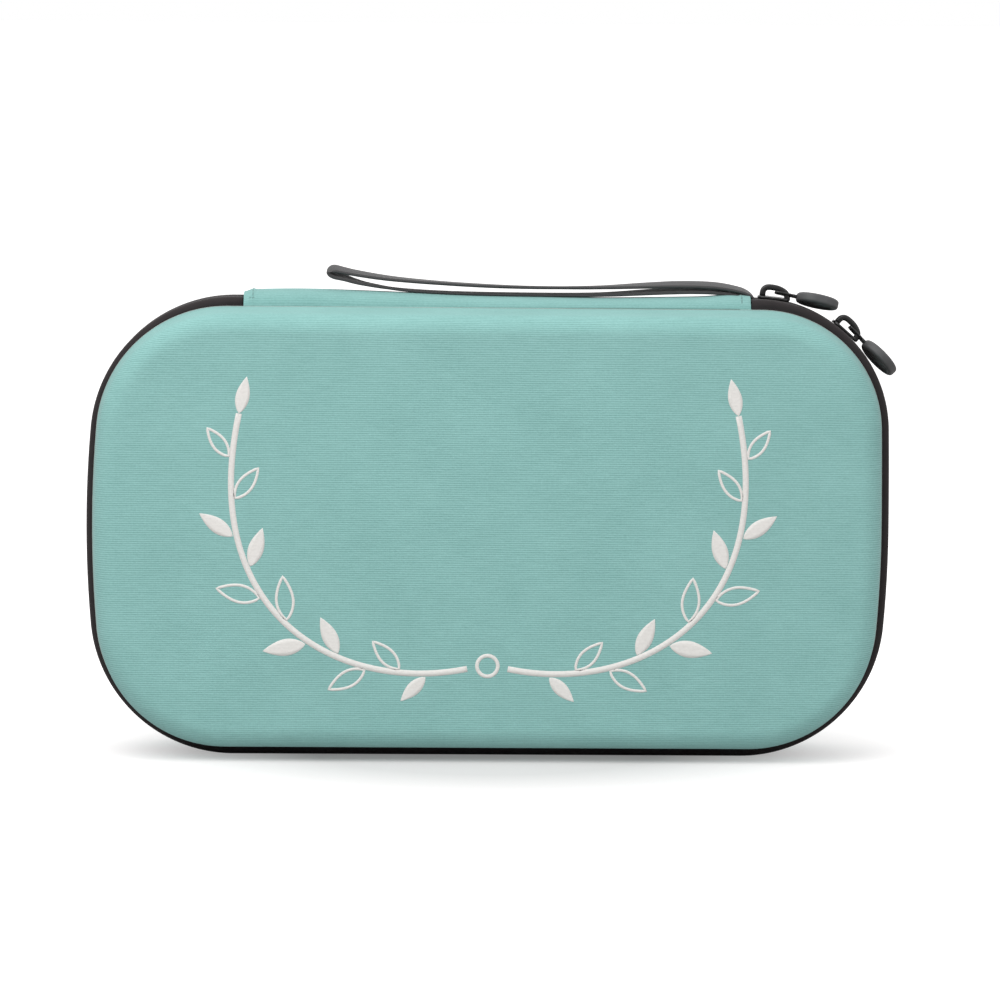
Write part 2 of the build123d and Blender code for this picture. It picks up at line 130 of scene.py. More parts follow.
class CaseShape(bpy.types.PropertyGroup):
    """Outline and wall of the two moulded shells."""

    corner_radius: size("Corner radius", 50, "Radius of the band's outline at three corners")
    side_bulge: size("Side bulge", 1.3, "How far a short side stands out beyond its corners")
    parking_radius: size("Parking radius", 46, "Radius of the corner where the sliders park")
    parking_bulge: size("Parking bulge", 0.3, "Bulge of the short side above its middle there")
    wall_taper: angle("Wall taper", 5.5, "How far the walls lean inwards")
    cover_side_inset: size("Cover side inset", 2.5, "From the band to the cover's rim at the sides")
    cover_shift: size("Cover shift", -0.25, "How far the woven cover sits to one side")
    cover_sag: size("Cover sag", 0.35, "How far the cover's top edge sinks towards the sliders")
    cover_corner: size("Cover corner", 45.5, "Radius of the woven cover's rim at three corners")
    cover_parking: size("Cover parking corner", 42.3, "Radius of that rim where the sliders park")
    face_radius: size("Face radius", 7, "Rounding from wall to face on the outer skin")
    face_crown: size("Face crown", 0.35, "How far the middle of a face is domed")
    cover: size("Cover", 0.8, "Thickness of the woven cover")
    core: size("Core", 3, "Thickness of the moulded foam board")


class CaseZip(bpy.types.PropertyGroup):
    """Zip tape, coil, sliders and pulls."""

    tape: size("Tape", 0.8, "Thickness of the tape")
    tape_bend: size("Tape bend", 2.4, "Outer radius where the tape turns in over the rim")
    closed_edge: size("Closed edge", 0.12, "Half the gap between the tapes of the closed zip")
    parted_edge: size("Parted edge", 1.7, "Half that gap in the mouth between the sliders")
    coil_pitch: size("Coil pitch", 1.5, "Distance between two turns of the coil")
    coil_wire: size("Coil wire", 0.62, "Thickness of the coil's thread")
    coil_width: size("Coil width", 2.2, "Width of the coil across the tape")
    coil_height: size("Coil height", 1.7, "Height of the coil off the tape")
    first_slider: angle("First slider", 6.9, "From the corner's top to the slider near the spine")
    second_slider: angle("Second slider", 41.2, "From the corner's top to the other slider")
    pivot_along: size("Pivot along", 0.6, "Place of the pull's pivot along the slider")
    pivot_height: size("Pivot height", 2.6, "Height of the pull's pivot over the tape")
    pull_droop: angle("Pull droop", 5.0, "How far the pull lies below the slider's own line")
    pull_roll: angle("Pull roll", 11, "How far the pull leans towards the base")
    disc_diameter: size("Disc diameter", 15, "Diameter of the pull disc")
    disc_thickness: size("Disc thickness", 3.3, "Thickness of the pull disc")
    disc_reach: size("Disc reach", 14.8, "From the pivot to the disc's middle")


class CaseTrim(bpy.types.PropertyGroup):
    """Spine, wrist strap, pocket and straps."""

    spine_half_width: size("Spine half width", 9.42, "From the spine's middle to its seam")
    spine_rise: size("Spine rise", 2.5, "How far the spine stands up where it is fullest")
    hem_width: size("Hem width", 3.8, "Width of the folded hem at each end of the spine")
    strap_width: size("Strap width", 7, "Width of the wrist strap's webbing")
    strap_thickness: size("Strap thickness", 1.05, "Thickness of the wrist strap's webbing")
    net_pitch: size("Net pitch", 3.2, "Distance between two holes of the pocket's net")
    net_yarn: size("Net yarn", 0.9, "Width of the net's yarn")
    net_thickness: size("Net thickness", 0.6, "Thickness of the net")
    hem: size("Hem", 6, "Width of the pocket's hem")
    stitch: size("Stitch", 2.4, "Length of one stitch")
    stitch_pitch: size("Stitch pitch", 3.1, "Distance between two stitches of a row")


class CaseColours(bpy.types.PropertyGroup):
    """Colours of the fabrics and trims."""

    cover: colour("Cover", 149, 197, 193, "Woven cover")
    # Darker end of the cover's colour: painted shade in the rib grooves mixed with the yarn's own
    # uneven tone. Darkened further, it is the flange's painted seam shade.
    cover_dark: colour("Cover dark", 120, 169, 164, "Shaded yarn of the woven cover")
    # Pale colour of the cover's cut edge: the fibre ends' own colour, and a painted highlight along
    # the rim.
    cover_edge: colour("Cover edge", 186, 204, 198, "Cut edge of the cover")
    tape: colour("Tape", 43, 38, 39, "Zip tape")
    webbing: colour("Webbing", 66, 65, 66, "Wrist strap")
    lacquer: colour("Lacquer", 19, 19, 20, "Sliders and links")
    rubber: colour("Rubber", 78, 78, 79, "Pull discs")
    lining: colour("Lining", 46, 47, 49, "Lining of both shells")
    elastic: colour("Elastic", 38, 38, 40, "Elastic tapes")
    printed: colour("Printed", 240, 238, 234, "Printed ornament")


# ---------------------------------------------------------------- routes and surfaces
class Route:
    """A route in the plane of X and Z made of straight runs and arcs, each tangent to the next.

    The heading grows evenly along an arc, so at distance t into an arc of curvature k the point
    lies at the end of a chord of length t sin(kt/2) / (kt/2), which points half the turn past the
    arc's first heading.
    """

    def __init__(self, start, heading, arcs):
        arcs = np.array(arcs)
        self.lengths = arcs[:, 0]
        self.turns = arcs[:, 1]
        self.curvatures = self.turns / self.lengths
        self.starts = np.concatenate([[0.0], np.cumsum(self.lengths)])
        self.headings = heading + np.concatenate([[0.0], np.cumsum(self.turns)])
        self.length = self.starts[-1]
        half_turns = self.turns / 2
        chords = self.lengths * np.sinc(half_turns / np.pi)
        ways = self.headings[:-1] + half_turns
        steps = np.stack([chords * np.cos(ways), chords * np.sin(ways)], axis=1)
        self.points = np.concatenate([[start], start + np.cumsum(steps, axis=0)])

    def at(self, distances):
        """Points and outward normals of a closed route that turns left, at distances along it."""
        distances = np.mod(distances, self.length)
        arc = np.searchsorted(self.starts, distances, side="right") - 1
        arc = np.clip(arc, 0, len(self.lengths) - 1)
        along = distances - self.starts[arc]
        half_turn = self.curvatures[arc] * along / 2
        chord = along * np.sinc(half_turn / np.pi)
        way = self.headings[arc] + half_turn
        points = self.points[arc] + np.stack([chord * np.cos(way), chord * np.sin(way)], axis=-1)
        heading = self.headings[arc] + 2 * half_turn
        return points, np.stack([np.sin(heading), -np.cos(heading)], axis=-1)

    def stations(self, first, last, run_step, turn_step):
        """Distances from first to last, spaced by a length on straight runs, by a turn on arcs."""
        distances = [first]
        laps = np.concatenate([self.starts[:-1], self.starts[:-1] + self.length, [2 * self.length]])
        turns = np.concatenate([self.turns, self.turns])
        for start, end, turn in zip(laps[:-1], laps[1:], turns):
            low, high = max(start, first), min(end, last)
            if high - low < 1e-7:
                continue
            turned = abs(turn) * ((high - low) / (end - start))
            count = max(1, math.ceil((high - low) / run_step), math.ceil(turned / turn_step))
            distances.extend(np.linspace(low, high, count + 1)[1:])
        return np.array(distances)

    def lap(self):
        """Distances all the way round, up to the last before the start comes again."""
        return self.stations(0.0, self.length, 7 * MM, math.radians(2.2))[:-1]

    def ways(self, distances):
        """Unit vectors in space at distances from the start: outwards, and along the route."""
        _, normals = self.at(distances)
        outwards = upright(normals[:, 0], normals[:, 1])
        return outwards, upright(-normals[:, 1], normals[:, 0])


def outline_route(shape, side_inset, edge_inset, corner_radius, parking_radius, shift=0.0):
    """Outline inside the band's own box, from its parking corner's top to the left and round."""
    half_width = CASE_LENGTH / 2 - side_inset
    half_height = CASE_HEIGHT / 2 - edge_inset
    rise = half_height - corner_radius
    turn = 2 * math.atan(shape.side_bulge / rise)
    side = corner_radius + rise / math.sin(turn)
    corner_x = half_width - corner_radius - shape.side_bulge
    parking_x = half_width - parking_radius - shape.parking_bulge
    parking_rise = half_height - parking_radius
    parking_turn = 2 * math.atan(shape.parking_bulge / parking_rise)
    parking_side = parking_radius + parking_rise / math.sin(parking_turn)
    corner_turn = math.pi / 2 - turn
    corner = (corner_radius * corner_turn, corner_turn)
    last_turn = math.pi / 2 - parking_turn
    arcs = [
        (parking_x + corner_x, 0.0),
        corner,
        (2 * side * turn, 2 * turn),
        corner,
        (2 * corner_x, 0.0),
        corner,
        (side * turn, turn),
        (parking_side * parking_turn, parking_turn),
        (parking_radius * last_turn, last_turn),
    ]
    return Route((parking_x + shift, CASE_HEIGHT - edge_inset), math.pi, arcs)


def band_route(shape):
    """Outline of the zip band."""
    return outline_route(shape, 0.0, 0.0, shape.corner_radius, shape.parking_radius)


def rim_route(shape):
    """Outline of the woven cover's rim, which is a little fuller than the band in the corners."""
    radii = shape.cover_corner, shape.cover_parking
    return outline_route(shape, shape.cover_side_inset, RIM_INSET, *radii, shape.cover_shift)


def sagged(shape, points):
    """Points of a woven cover, whose upper part comes down a little towards the sliders."""
    along = smooth_step(-0.32 * CASE_LENGTH, 0.4 * CASE_LENGTH, points[..., 0])
    upwards = smooth_step(0.5 * CASE_HEIGHT, 0.98 * CASE_HEIGHT, points[..., 2])
    points = points.copy()
    points[..., 2] -= shape.cover_sag * along * upwards
    return points


def parking_centre(shape):
    """Middle of the corner where the sliders park."""
    return (
        CASE_LENGTH / 2 - shape.parking_radius - shape.parking_bulge,
        CASE_HEIGHT - shape.parking_radius,
    )


def in_band(route, distances, depth, inset, side):
    """Points at stations of the outline, each row at the given depths and insets."""
    points, normals = route.at(distances)
    depth, inset = np.broadcast_arrays(depth, inset)
    depth = np.broadcast_to(depth, (len(distances), depth.shape[-1]))
    inset = np.broadcast_to(inset, depth.shape)
    x = points[:, :1] - inset * normals[:, :1]
    z = points[:, 1:] - inset * normals[:, 1:]
    return np.stack([x, side * depth, z], axis=-1)


def line_in_band(route, distances, depth, inset, side):
    """Points at distances along the outline, each at a depth and inset."""
    depth, inset = np.reshape(depth, (-1, 1)), np.reshape(inset, (-1, 1))
    return in_band(route, distances, depth, inset, side)[:, 0]


def wall_inset(shape, layer, depth):
    """Inset, at a depth, of the wall surface that lies `layer` inside the outer skin."""
    taper = shape.wall_taper
    return RIM_INSET + layer / math.cos(taper) + (depth - RIM_DEPTH) * math.tan(taper)


def run_lengths(points):
    """Distances along rows of points, from the first."""
    steps = np.linalg.norm(np.diff(points, axis=-2), axis=-1)
    zero = np.zeros(steps.shape[:-1] + (1,))
    return np.concatenate([zero, np.cumsum(steps, axis=-1)], axis=-1)


def girth(section):
    """Distances round a closed section, from its first point back to it."""
    return run_lengths(np.concatenate([section, section[:1]]))


def pairs(rows, columns):
    """Grid of pattern places, one for each row and column."""
    return np.stack(np.meshgrid(rows, columns, indexing="ij"), axis=-1)


def upright(x, z):
    """Vectors or points in the plane Y = 0."""
    return np.stack([x, np.zeros(len(x)), z], axis=-1)


def repeated(vector, points):
    """One vector, once for each point."""
    return np.tile(vector, (len(points), 1))


def unit(vectors):
    """Vectors brought to length 1."""
    return vectors / np.linalg.norm(vectors, axis=-1, keepdims=True)


def tangents_of(line):
    """Unit vectors along a line of points."""
    return unit(np.gradient(line, axis=0))


def tangents_round(line):
    """Unit vectors along a closed line of points."""
    return unit(np.roll(line, -1, axis=0) - np.roll(line, 1, axis=0))


def full_turn(count):
    """Angles of evenly spaced points round a circle."""
    return np.linspace(0, 2 * math.pi, count, endpoint=False)


def squared(wave, power):
    """A sine or cosine made squarer by a power below 1."""
    return np.sign(wave) * np.abs(wave) ** power


class Surface:
    """Faces gathered for one piece: points, polygons and a pattern place for each corner."""

    def __init__(self):
        self.points = []
        self.polygons = []
        self.places = []
        self.count = 0

    def add(self, points, polygons, places):
        """Add points, polygons that count from the first of them, and the polygons' places."""
        self.polygons.extend((polygons + self.count).tolist())
        self.places.append(places.reshape(-1, 2))
        self.points.append(points.reshape(-1, 3))
        self.count += points.size // 3

    def grid(self, points, places, closed_rows=False, closed_columns=False, caps=False):
        """Add a grid of points as quads.

        Places has one row or column more where the grid is closed, and is None for a finish that
        takes no pattern.
        """
        rows, columns = points.shape[:2]
        if places is None:
            places = np.zeros((rows + 1, columns + 1, 2))
        row, column = np.meshgrid(
            np.arange(rows if closed_rows else rows - 1),
            np.arange(columns if closed_columns else columns - 1),
            indexing="ij",
        )
        around = [(row, column), (row, column + 1), (row + 1, column + 1), (row + 1, column)]
        corners = np.stack([a % rows * columns + b % columns for a, b in around], axis=-1)
        spots = np.stack([places[a, b] for a, b in around], axis=-2)
        start = self.count
        self.add(points, corners.reshape(-1, 4), spots)
        if caps:
            for end in (0, rows - 1):
                self.polygons.append((np.arange(columns) + end * columns + start).tolist())
                self.places.append(places[end, :columns])

    def copies(self, template, quads, origins, ways):
        """Add a small shape many times, with three vectors for each copy that scale its axes."""
        points = origins[:, None, :] + np.einsum("vk,nkc->nvc", template, ways)
        starts = np.arange(len(origins)) * len(template)
        polygons = (quads[None] + starts[:, None, None]).reshape(-1, quads.shape[1])
        self.add(points, polygons, points[:, quads][..., [0, 2]])

    def piece(self, name, material, smooth=True):
        """Make the object, with its doubles merged and its faces turned outwards."""
        mesh = bpy.data.meshes.new(name)
        mesh.from_pydata(np.concatenate(self.points).tolist(), [], self.polygons)
        layer = mesh.uv_layers.new(name="pattern")
        layer.data.foreach_set("uv", np.concatenate(self.places).astype(np.float32).ravel())
        tidy = bmesh.new()
        tidy.from_mesh(mesh)
        bmesh.ops.remove_doubles(tidy, verts=tidy.verts, dist=1e-6)
        bmesh.ops.recalc_face_normals(tidy, faces=tidy.faces)
        tidy.to_mesh(mesh)
        tidy.free()
        mesh.polygons.foreach_set("use_smooth", [smooth] * len(mesh.polygons))
        mesh.materials.append(material)
        piece = bpy.data.objects.new(name, mesh)
        bpy.context.scene.collection.objects.link(piece)
        return piece


def dress(surface, name, look, body, slot, *nodes, smooth=True):
    """Make a surface's object, with its body, in place of the CAD nodes it stands for. The slot is
    not used.
    """
    piece = surface.piece(name, finish(look), smooth)
    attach(piece, body)
    if nodes:
        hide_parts(*nodes)
    return piece


def sharpen(piece, degrees):
    """Keep the edges crisp where two faces meet at more than an angle."""
    piece.data.set_sharp_from_angle(angle=math.radians(degrees))


def smooth_step(low, high, value):
    """Share from 0 at low to 1 at high, with no slope at either end."""
    share = np.clip((value - low) / (high - low), 0, 1)
    return share * share * (3 - 2 * share)


def stitch_template():
    """Points and quads of one stitch: a six-sided capsule of length 1 along x, width and height 1.

    A ring at angle a from one end has radius sin(a) / 2 and lies at -cos(a) / 2.  Two quads close
    each end.
    """
    rings, sides = 5, 6
    polar = np.linspace(0.3, math.pi - 0.3, rings)
    around = full_turn(sides)
    points = np.stack(
        [
            np.repeat(-np.cos(polar) / 2, sides),
            np.outer(np.sin(polar), np.cos(around)).ravel() / 2,
            np.outer(np.sin(polar), np.sin(around)).ravel() / 2,
        ],
        axis=-1,
    )
    quads = []
    for ring in range(rings - 1):
        low, high = ring * sides, (ring + 1) * sides
        for spot in range(sides):
            after = (spot + 1) % sides
            quads.append((low + spot, low + after, high + after, high + spot))
    for end in (0, (rings - 1) * sides):
        quads += [(end, end + 1, end + 2, end + 3), (end, end + 3, end + 4, end + 5)]
    return points, np.array(quads)


def stitches(surface, points, along, up, length, width):
    """Add stitches of thread at points, with unit vectors along the seam and off the fabric."""
    template, quads = stitch_template()
    across = np.cross(up, along)
    ways = np.stack([along * length, across * width, up * width], axis=1)
    surface.copies(template, quads, points, ways)


def pillow(
    surface, ring, rounding, half_height, plane, dish=0.0, dish_inset=0.0, steps=4, bend=0.0
):
    """Add a flat plate with rounded edges.

    ring(inset) gives the plate's outline that much smaller.  From the lower face the edge goes
    round by quarter circles of the rounding's radius, then back over the upper face.  A dish lowers
    both faces inside an inset.  A bend lowers the plate by that much times the square of its x.
    """
    quarter = np.linspace(0, math.pi / 2, steps + 1)
    insets = rounding * (1 - np.sin(quarter))
    heights = half_height - rounding * (1 - np.cos(quarter))
    faces = [rounding * 1.15]
    levels = [half_height]
    if dish:
        faces += [dish_inset - dish, dish_inset - 0.4 * dish, dish_inset, dish_inset * 1.2]
        levels += [half_height - share * dish for share in (0, 0.25, 0.8, 1)]
    upper_insets = np.concatenate([insets[::-1], faces])
    upper_heights = np.concatenate([heights[::-1], levels])
    all_insets = np.concatenate([upper_insets[::-1], upper_insets])
    all_heights = np.concatenate([-upper_heights[::-1], upper_heights])
    outlines = np.stack([ring(inset) for inset in all_insets])
    heights = all_heights[:, None] - bend * outlines[..., 0] ** 2
    rings = np.concatenate([outlines, heights[..., None]], axis=-1)
    places = np.concatenate([rings, rings[:, :1]], axis=1)[..., :2]
    surface.grid(placed(rings, plane), places, closed_columns=True, caps=True)


def rounded_rectangle(length, width, corner, middle=(0.0, 0.0), per_corner=7):
    """Ring function of a rounded rectangle: four quarter circles round the corners' middles."""

    def ring(inset):
        radius = max(corner - inset, 0.02 * MM)
        reach_x = length / 2 - max(corner, inset + 0.02 * MM)
        reach_y = width / 2 - max(corner, inset + 0.02 * MM)
        points = []
        for quarter, (sign_x, sign_y) in enumerate([(1, 1), (-1, 1), (-1, -1), (1, -1)]):
            turn = np.linspace(0, math.pi / 2, per_corner) + quarter * math.pi / 2
            points.append(
                np.c_[
                    middle[0] + sign_x * reach_x + radius * np.cos(turn),
                    middle[1] + sign_y * reach_y + radius * np.sin(turn),
                ]
            )
        return np.concatenate(points)

    return ring


def round_bar(radius, sides):
    """Profile of a round bar."""
    turn = full_turn(sides)
    return np.c_[radius * np.cos(turn), radius * np.sin(turn)]


def circle(radius):
    """Ring function of a circle."""
    return lambda inset: round_bar(radius - inset, 64)


def placed(points, plane):
    """Points given along a plane's x, y and outward axes, moved to their place."""
    origin, x_way, y_way, out_way = plane
    return (
        origin
        + points[..., :1] * np.array(x_way)
        + points[..., 1:2] * np.array(y_way)
        + points[..., 2:3] * np.array(out_way)
    )


def carried(path, across, up, profile):
    """Grid of a profile carried along a path.  The profile's pairs go along `across` and `up`."""
    wide, high = profile[None, :, :1], profile[None, :, 1:]
    return path[:, None, :] + wide * across[:, None, :] + high * up[:, None, :]


def flat_bar(width, thickness, rounding):
    """Profile of a flat bar with rounded corners."""
    return rounded_rectangle(width, thickness, rounding, per_corner=4)(0.0)


def tube(points, places=None, ring=False):
    """Surface that closes round each row of points, with caps at its ends or joined into a ring."""
    surface = Surface()
    surface.grid(points, places, closed_rows=ring, closed_columns=True, caps=not ring)
    return surface


def bar(points):
    """Surface of a capped bar, whose pattern goes along its first line and round its middle."""
    return tube(points, pairs(run_lengths(points[:, 0]), girth(points[len(points) // 2])))


# ---------------------------------------------------------------- finishes
class Finish:
    """A material being made, with short ways to add the nodes that the finishes share."""

    def __init__(
        self, name, roughness, colour=None, sheen=0.0, specular=0.5, coat=0.0, metallic=0.0
    ):
        self.material = bpy.data.materials.new(name)
        self.material.use_nodes = True
        self.tree = self.material.node_tree
        self.shader = self.tree.nodes["Principled BSDF"]
        values = {
            "Roughness": roughness,
            "Specular IOR Level": specular,
            "Sheen Weight": sheen,
            "Sheen Roughness": 0.45,
            "Coat Weight": coat,
            "Coat Roughness": 0.2,
            "Metallic": metallic,
        }
        for socket, value in values.items():
            self.shader.inputs[socket].default_value = value
        if colour is not None:
            self.shader.inputs["Base Color"].default_value = (*colour, 1)

    def node(self, kind, inputs=(), **settings):
        """Add a node and fill its inputs in order; a socket among them is linked."""
        added = self.tree.nodes.new(kind)
        for name, value in settings.items():
            setattr(added, name, value)
        for socket, value in zip(added.inputs, inputs):
            if isinstance(value, bpy.types.NodeSocket):
                self.tree.links.new(value, socket)
            elif value is not None:
                socket.default_value = value
        return added

    def math(self, operation, *values):
        """Result of a sum on numbers or sockets."""
        return self.node("ShaderNodeMath", values, operation=operation).outputs[0]

    def places(self, along, across, pattern="pattern"):
        """The piece's own pattern places, divided by a length along and one across."""
        if pattern == "pattern":
            source = self.node("ShaderNodeUVMap", uv_map="pattern").outputs[0]
        else:
            source = self.node("ShaderNodeTexCoord").outputs["Object"]
        scale = (1 / along, 1 / across, 1 / across)
        return self.node("ShaderNodeMapping", (source, (0, 0, 0), (0, 0, 0), scale)).outputs[0]

    def noise(self, along, across, detail=2.0, roughness=0.5, pattern="pattern"):
        """Soft noise from 0 to 1, with a grain of a length along and one across."""
        vector = self.places(along, across, pattern)
        added = self.node("ShaderNodeTexNoise", noise_dimensions="3D")
        self.tree.links.new(vector, added.inputs["Vector"])
        added.inputs["Scale"].default_value = 1.0
        added.inputs["Detail"].default_value = detail
        added.inputs["Roughness"].default_value = roughness
        return added.outputs["Fac"]

    def grain(self, along, across, detail=2.0, roughness=0.5):
        """Noise that lies in the piece's own space, not along its pattern."""
        return self.noise(along, across, detail, roughness, "object")

    def ribs(self, vector, axis, shift=None):
        """Waves from 0 to 1, one for each unit along an axis of a vector, pushed by a shift."""
        value = self.node("ShaderNodeSeparateXYZ", (vector,)).outputs[axis]
        if shift is not None:
            value = self.math("ADD", value, shift)
        wave = self.math("SINE", self.math("MULTIPLY", value, 2 * math.pi))
        return self.math("MULTIPLY_ADD", wave, 0.5, 0.5)

    def ranged(self, value, low, high, to_low=0.0, to_high=1.0):
        """A value stretched from one range to another, and kept in it."""
        return self.node("ShaderNodeMapRange", (value, low, high, to_low, to_high)).outputs[0]

    def coloured(self, share, first, second):
        """Colour the surface with two colours mixed by a share."""
        added = self.node("ShaderNodeMix", data_type="RGBA")
        self.tree.links.new(share, added.inputs["Factor"])
        for name, tone in (("A", first), ("B", second)):
            socket = next(s for s in added.inputs if s.name == name and s.type == "RGBA")
            socket.default_value = (*tone, 1)
        result = next(s for s in added.outputs if s.type == "RGBA")
        self.tree.links.new(result, self.shader.inputs["Base Color"])

    def toned(self, share, tone, low, high):
        """Colour the surface with two shades of a tone mixed by a share."""
        self.coloured(share, shade(tone, low), shade(tone, high))

    def roughened(self, socket):
        """Set the roughness from a socket."""
        self.tree.links.new(socket, self.shader.inputs["Roughness"])

    def bumped(self, height, distance, strength):
        """Raise the surface by a height from 0 to 1 times a distance."""
        added = self.node("ShaderNodeBump")
        self.tree.links.new(height, added.inputs["Height"])
        added.inputs["Distance"].default_value = distance
        added.inputs["Strength"].default_value = strength
        self.tree.links.new(added.outputs[0], self.shader.inputs["Normal"])


def shade(tone, factor):
    """A colour made darker or lighter."""
    return [min(1.0, channel * factor) for channel in tone]


def woven_cover(name, colours, groove_strength=1.0, light=1.0):
    """Fine horizontal ribs of uneven yarn: painted shade in the grooves, faint streaks along them and
    specks. A light below 1 paints the whole weave darker, as painted shade.
    """
    finish = Finish(name, roughness=0.82, sheen=0.1, specular=0.25)
    rib_places = finish.places(6 * MM, 0.77 * MM)
    drift = finish.math("MULTIPLY", finish.noise(38 * MM, 9 * MM), 0.8)
    rib = finish.ribs(rib_places, 1, drift)
    streak = finish.noise(6 * MM, 0.9 * MM, 3.0, 0.6)
    # Painted shade: the grooves between the ribs are coloured darker, more so along the streaks.
    groove = finish.math("SUBTRACT", 1.0, rib)
    dark = finish.math("MULTIPLY", groove, finish.ranged(streak, 0.3, 0.7, 0.7, 1.0))
    cloud = finish.noise(26 * MM, 21 * MM)
    speck = finish.noise(0.9 * MM, 0.5 * MM, 1.0)
    tone = finish.math("MULTIPLY", dark, 0.64 * groove_strength)
    for spots, low, high in ((streak, -0.05, 0.06), (cloud, 0.0, 0.14), (speck, 0.0, 0.22)):
        tone = finish.math("ADD", tone, finish.ranged(spots, 0.3, 0.7, low, high))
    # A light factor below 1 darkens both shades of the weave: painted shade, used for the spine,
    # which faces the top light.
    finish.coloured(tone, shade(colours.cover, 1.16 * light), shade(colours.cover_dark, light))
    yarn = finish.ribs(finish.places(0.62 * MM, 0.38 * MM), 0)
    height = finish.math("MULTIPLY_ADD", yarn, 0.2, finish.math("MULTIPLY", rib, 0.8))
    finish.bumped(height, 0.06 * MM * groove_strength, 0.8)
    return finish.material


def woven_tape(name, tone, pitch, strength=0.6):
    """Narrow woven tape: slanting twill ribs, a little fluff and slight wear."""
    finish = Finish(name, roughness=0.75, sheen=0.1, specular=0.22)
    places = finish.places(pitch, pitch)
    parts = finish.node("ShaderNodeSeparateXYZ", (places,))
    slant = finish.ribs(places, 0, parts.outputs[1])
    cross = finish.ribs(places, 1)
    wear = finish.noise(7 * MM, 3 * MM, 3.0)
    finish.toned(finish.ranged(wear, 0.3, 0.75), tone, 0.86, 1.18)
    height = finish.math("MULTIPLY_ADD", slant, 0.7, finish.math("MULTIPLY", cross, 0.3))
    finish.bumped(height, 0.09 * MM, strength)
    return finish.material


def ribbed_webbing(name, tone, pitch):
    """Webbing with ribs along it and short cross threads. Its colour follows the relief: a painted
    highlight on the ribs and painted shade between them, varied by wear.
    """
    finish = Finish(name, roughness=0.7, sheen=0.25, specular=0.4)
    places = finish.places(0.8 * MM, pitch)
    rib = finish.ribs(places, 1)
    parts = finish.node("ShaderNodeSeparateXYZ", (places,))
    row = finish.math("MULTIPLY", finish.math("FLOOR", parts.outputs[1]), 0.5)
    thread = finish.ribs(places, 0, row)
    relief = finish.math("MULTIPLY", rib, finish.math("MULTIPLY_ADD", thread, 0.5, 0.5))
    wear = finish.noise(5 * MM, 2 * MM, 3.0)
    # Painted highlight and shade: lighter on the raised ribs, darker between them, varied by the wear
    # noise.
    share = finish.math("MULTIPLY", relief, finish.ranged(wear, 0.25, 0.75, 0.6, 1.1))
    finish.toned(share, tone, 0.62, 1.3)
    finish.bumped(relief, 0.16 * MM, 0.8)
    return finish.material


def lacquer(name, tone):
    """Black lacquered metal: glossy, with faint flow marks."""
    finish = Finish(name, roughness=0.24, colour=tone, specular=0.4, coat=0.15, metallic=0.1)
    marks = finish.grain(1.6 * MM, 1.6 * MM, 4.0, 0.6)
    finish.roughened(finish.ranged(marks, 0.3, 0.7, 0.17, 0.36))
    finish.bumped(marks, 0.02 * MM, 0.4)
    return finish.material


def moulded_rubber(name, tone):
    """Moulded matte rubber: fine spark texture and a slight bloom."""
    finish = Finish(name, roughness=0.5, specular=0.42, sheen=0.05)
    spark = finish.grain(0.35 * MM, 0.35 * MM, 3.0, 0.7)
    bloom = finish.grain(4 * MM, 4 * MM)
    finish.toned(finish.ranged(bloom, 0.3, 0.7), tone, 0.88, 1.15)
    finish.roughened(finish.ranged(spark, 0.3, 0.7, 0.42, 0.58))
    finish.bumped(spark, 0.03 * MM, 0.5)
    return finish.material


def coil_nylon(name, tone):
    """Nylon thread of the coil: satin, with drawn lines along it."""
    finish = Finish(name, roughness=0.36)
    finish.toned(finish.grain(2 * MM, 0.2 * MM), tone, 0.7, 1.2)
    return finish.material


def short_pile(name, tone, length=0.45 * MM):
    """Velvet or loop pile: short fibres that lie in soft patches, with a sheen."""
    finish = Finish(name, roughness=0.95, sheen=0.55, specular=0.1)
    fibre = finish.grain(length, length, 4.0, 0.75)
    nap = finish.grain(22 * MM, 14 * MM, 3.0)
    share = finish.math("MULTIPLY_ADD", fibre, 0.7, finish.math("MULTIPLY", nap, 0.4))
    finish.toned(share, tone, 0.6, 1.35)
    finish.bumped(fibre, 0.25 * MM, 0.6)
    return finish.material


def foam_board(name, tone):
    """Closed-cell foam board: fine cells."""
    finish = Finish(name, roughness=0.9, specular=0.2)
    places = finish.places(0.4 * MM, 0.4 * MM, "object")
    cells = finish.node("ShaderNodeTexVoronoi", (places,)).outputs["Distance"]
    finish.toned(cells, tone, 1.1, 0.6)
    finish.bumped(cells, 0.08 * MM, 0.6)
    return finish.material


def cut_edge(name, tone):
    """Cut edge of the cover: fibre ends that vary its tone. On the cover, its pale colour is partly
    the fibre ends' own and partly a painted highlight along the rim.
    """
    finish = Finish(name, roughness=0.9, specular=0.15, sheen=0.2)
    ends = finish.grain(0.5 * MM, 0.5 * MM, 3.0, 0.7)
    finish.toned(ends, tone, 0.72, 1.12)
    finish.bumped(ends, 0.06 * MM, 0.6)
    return finish.material


def printed_ink(name, tone):
    """Printed ink on the weave: matte, with the ribs showing through."""
    finish = Finish(name, roughness=0.55, specular=0.35)
    ribs = finish.ribs(finish.places(6.5 * MM, 1.14 * MM), 1)
    thin = finish.noise(1.2 * MM, 0.8 * MM, 3.0)
    finish.toned(finish.ranged(thin, 0.35, 0.8), tone, 1.0, 0.9)
    finish.bumped(ribs, 0.03 * MM, 0.4)
    return finish.material


def sewing_thread(name, tone):
    """Twisted thread."""
    finish = Finish(name, roughness=0.6, sheen=0.2, specular=0.4)
    finish.toned(finish.grain(0.3 * MM, 0.3 * MM), tone, 0.75, 1.2)
    return finish.material


FINISHES = {}


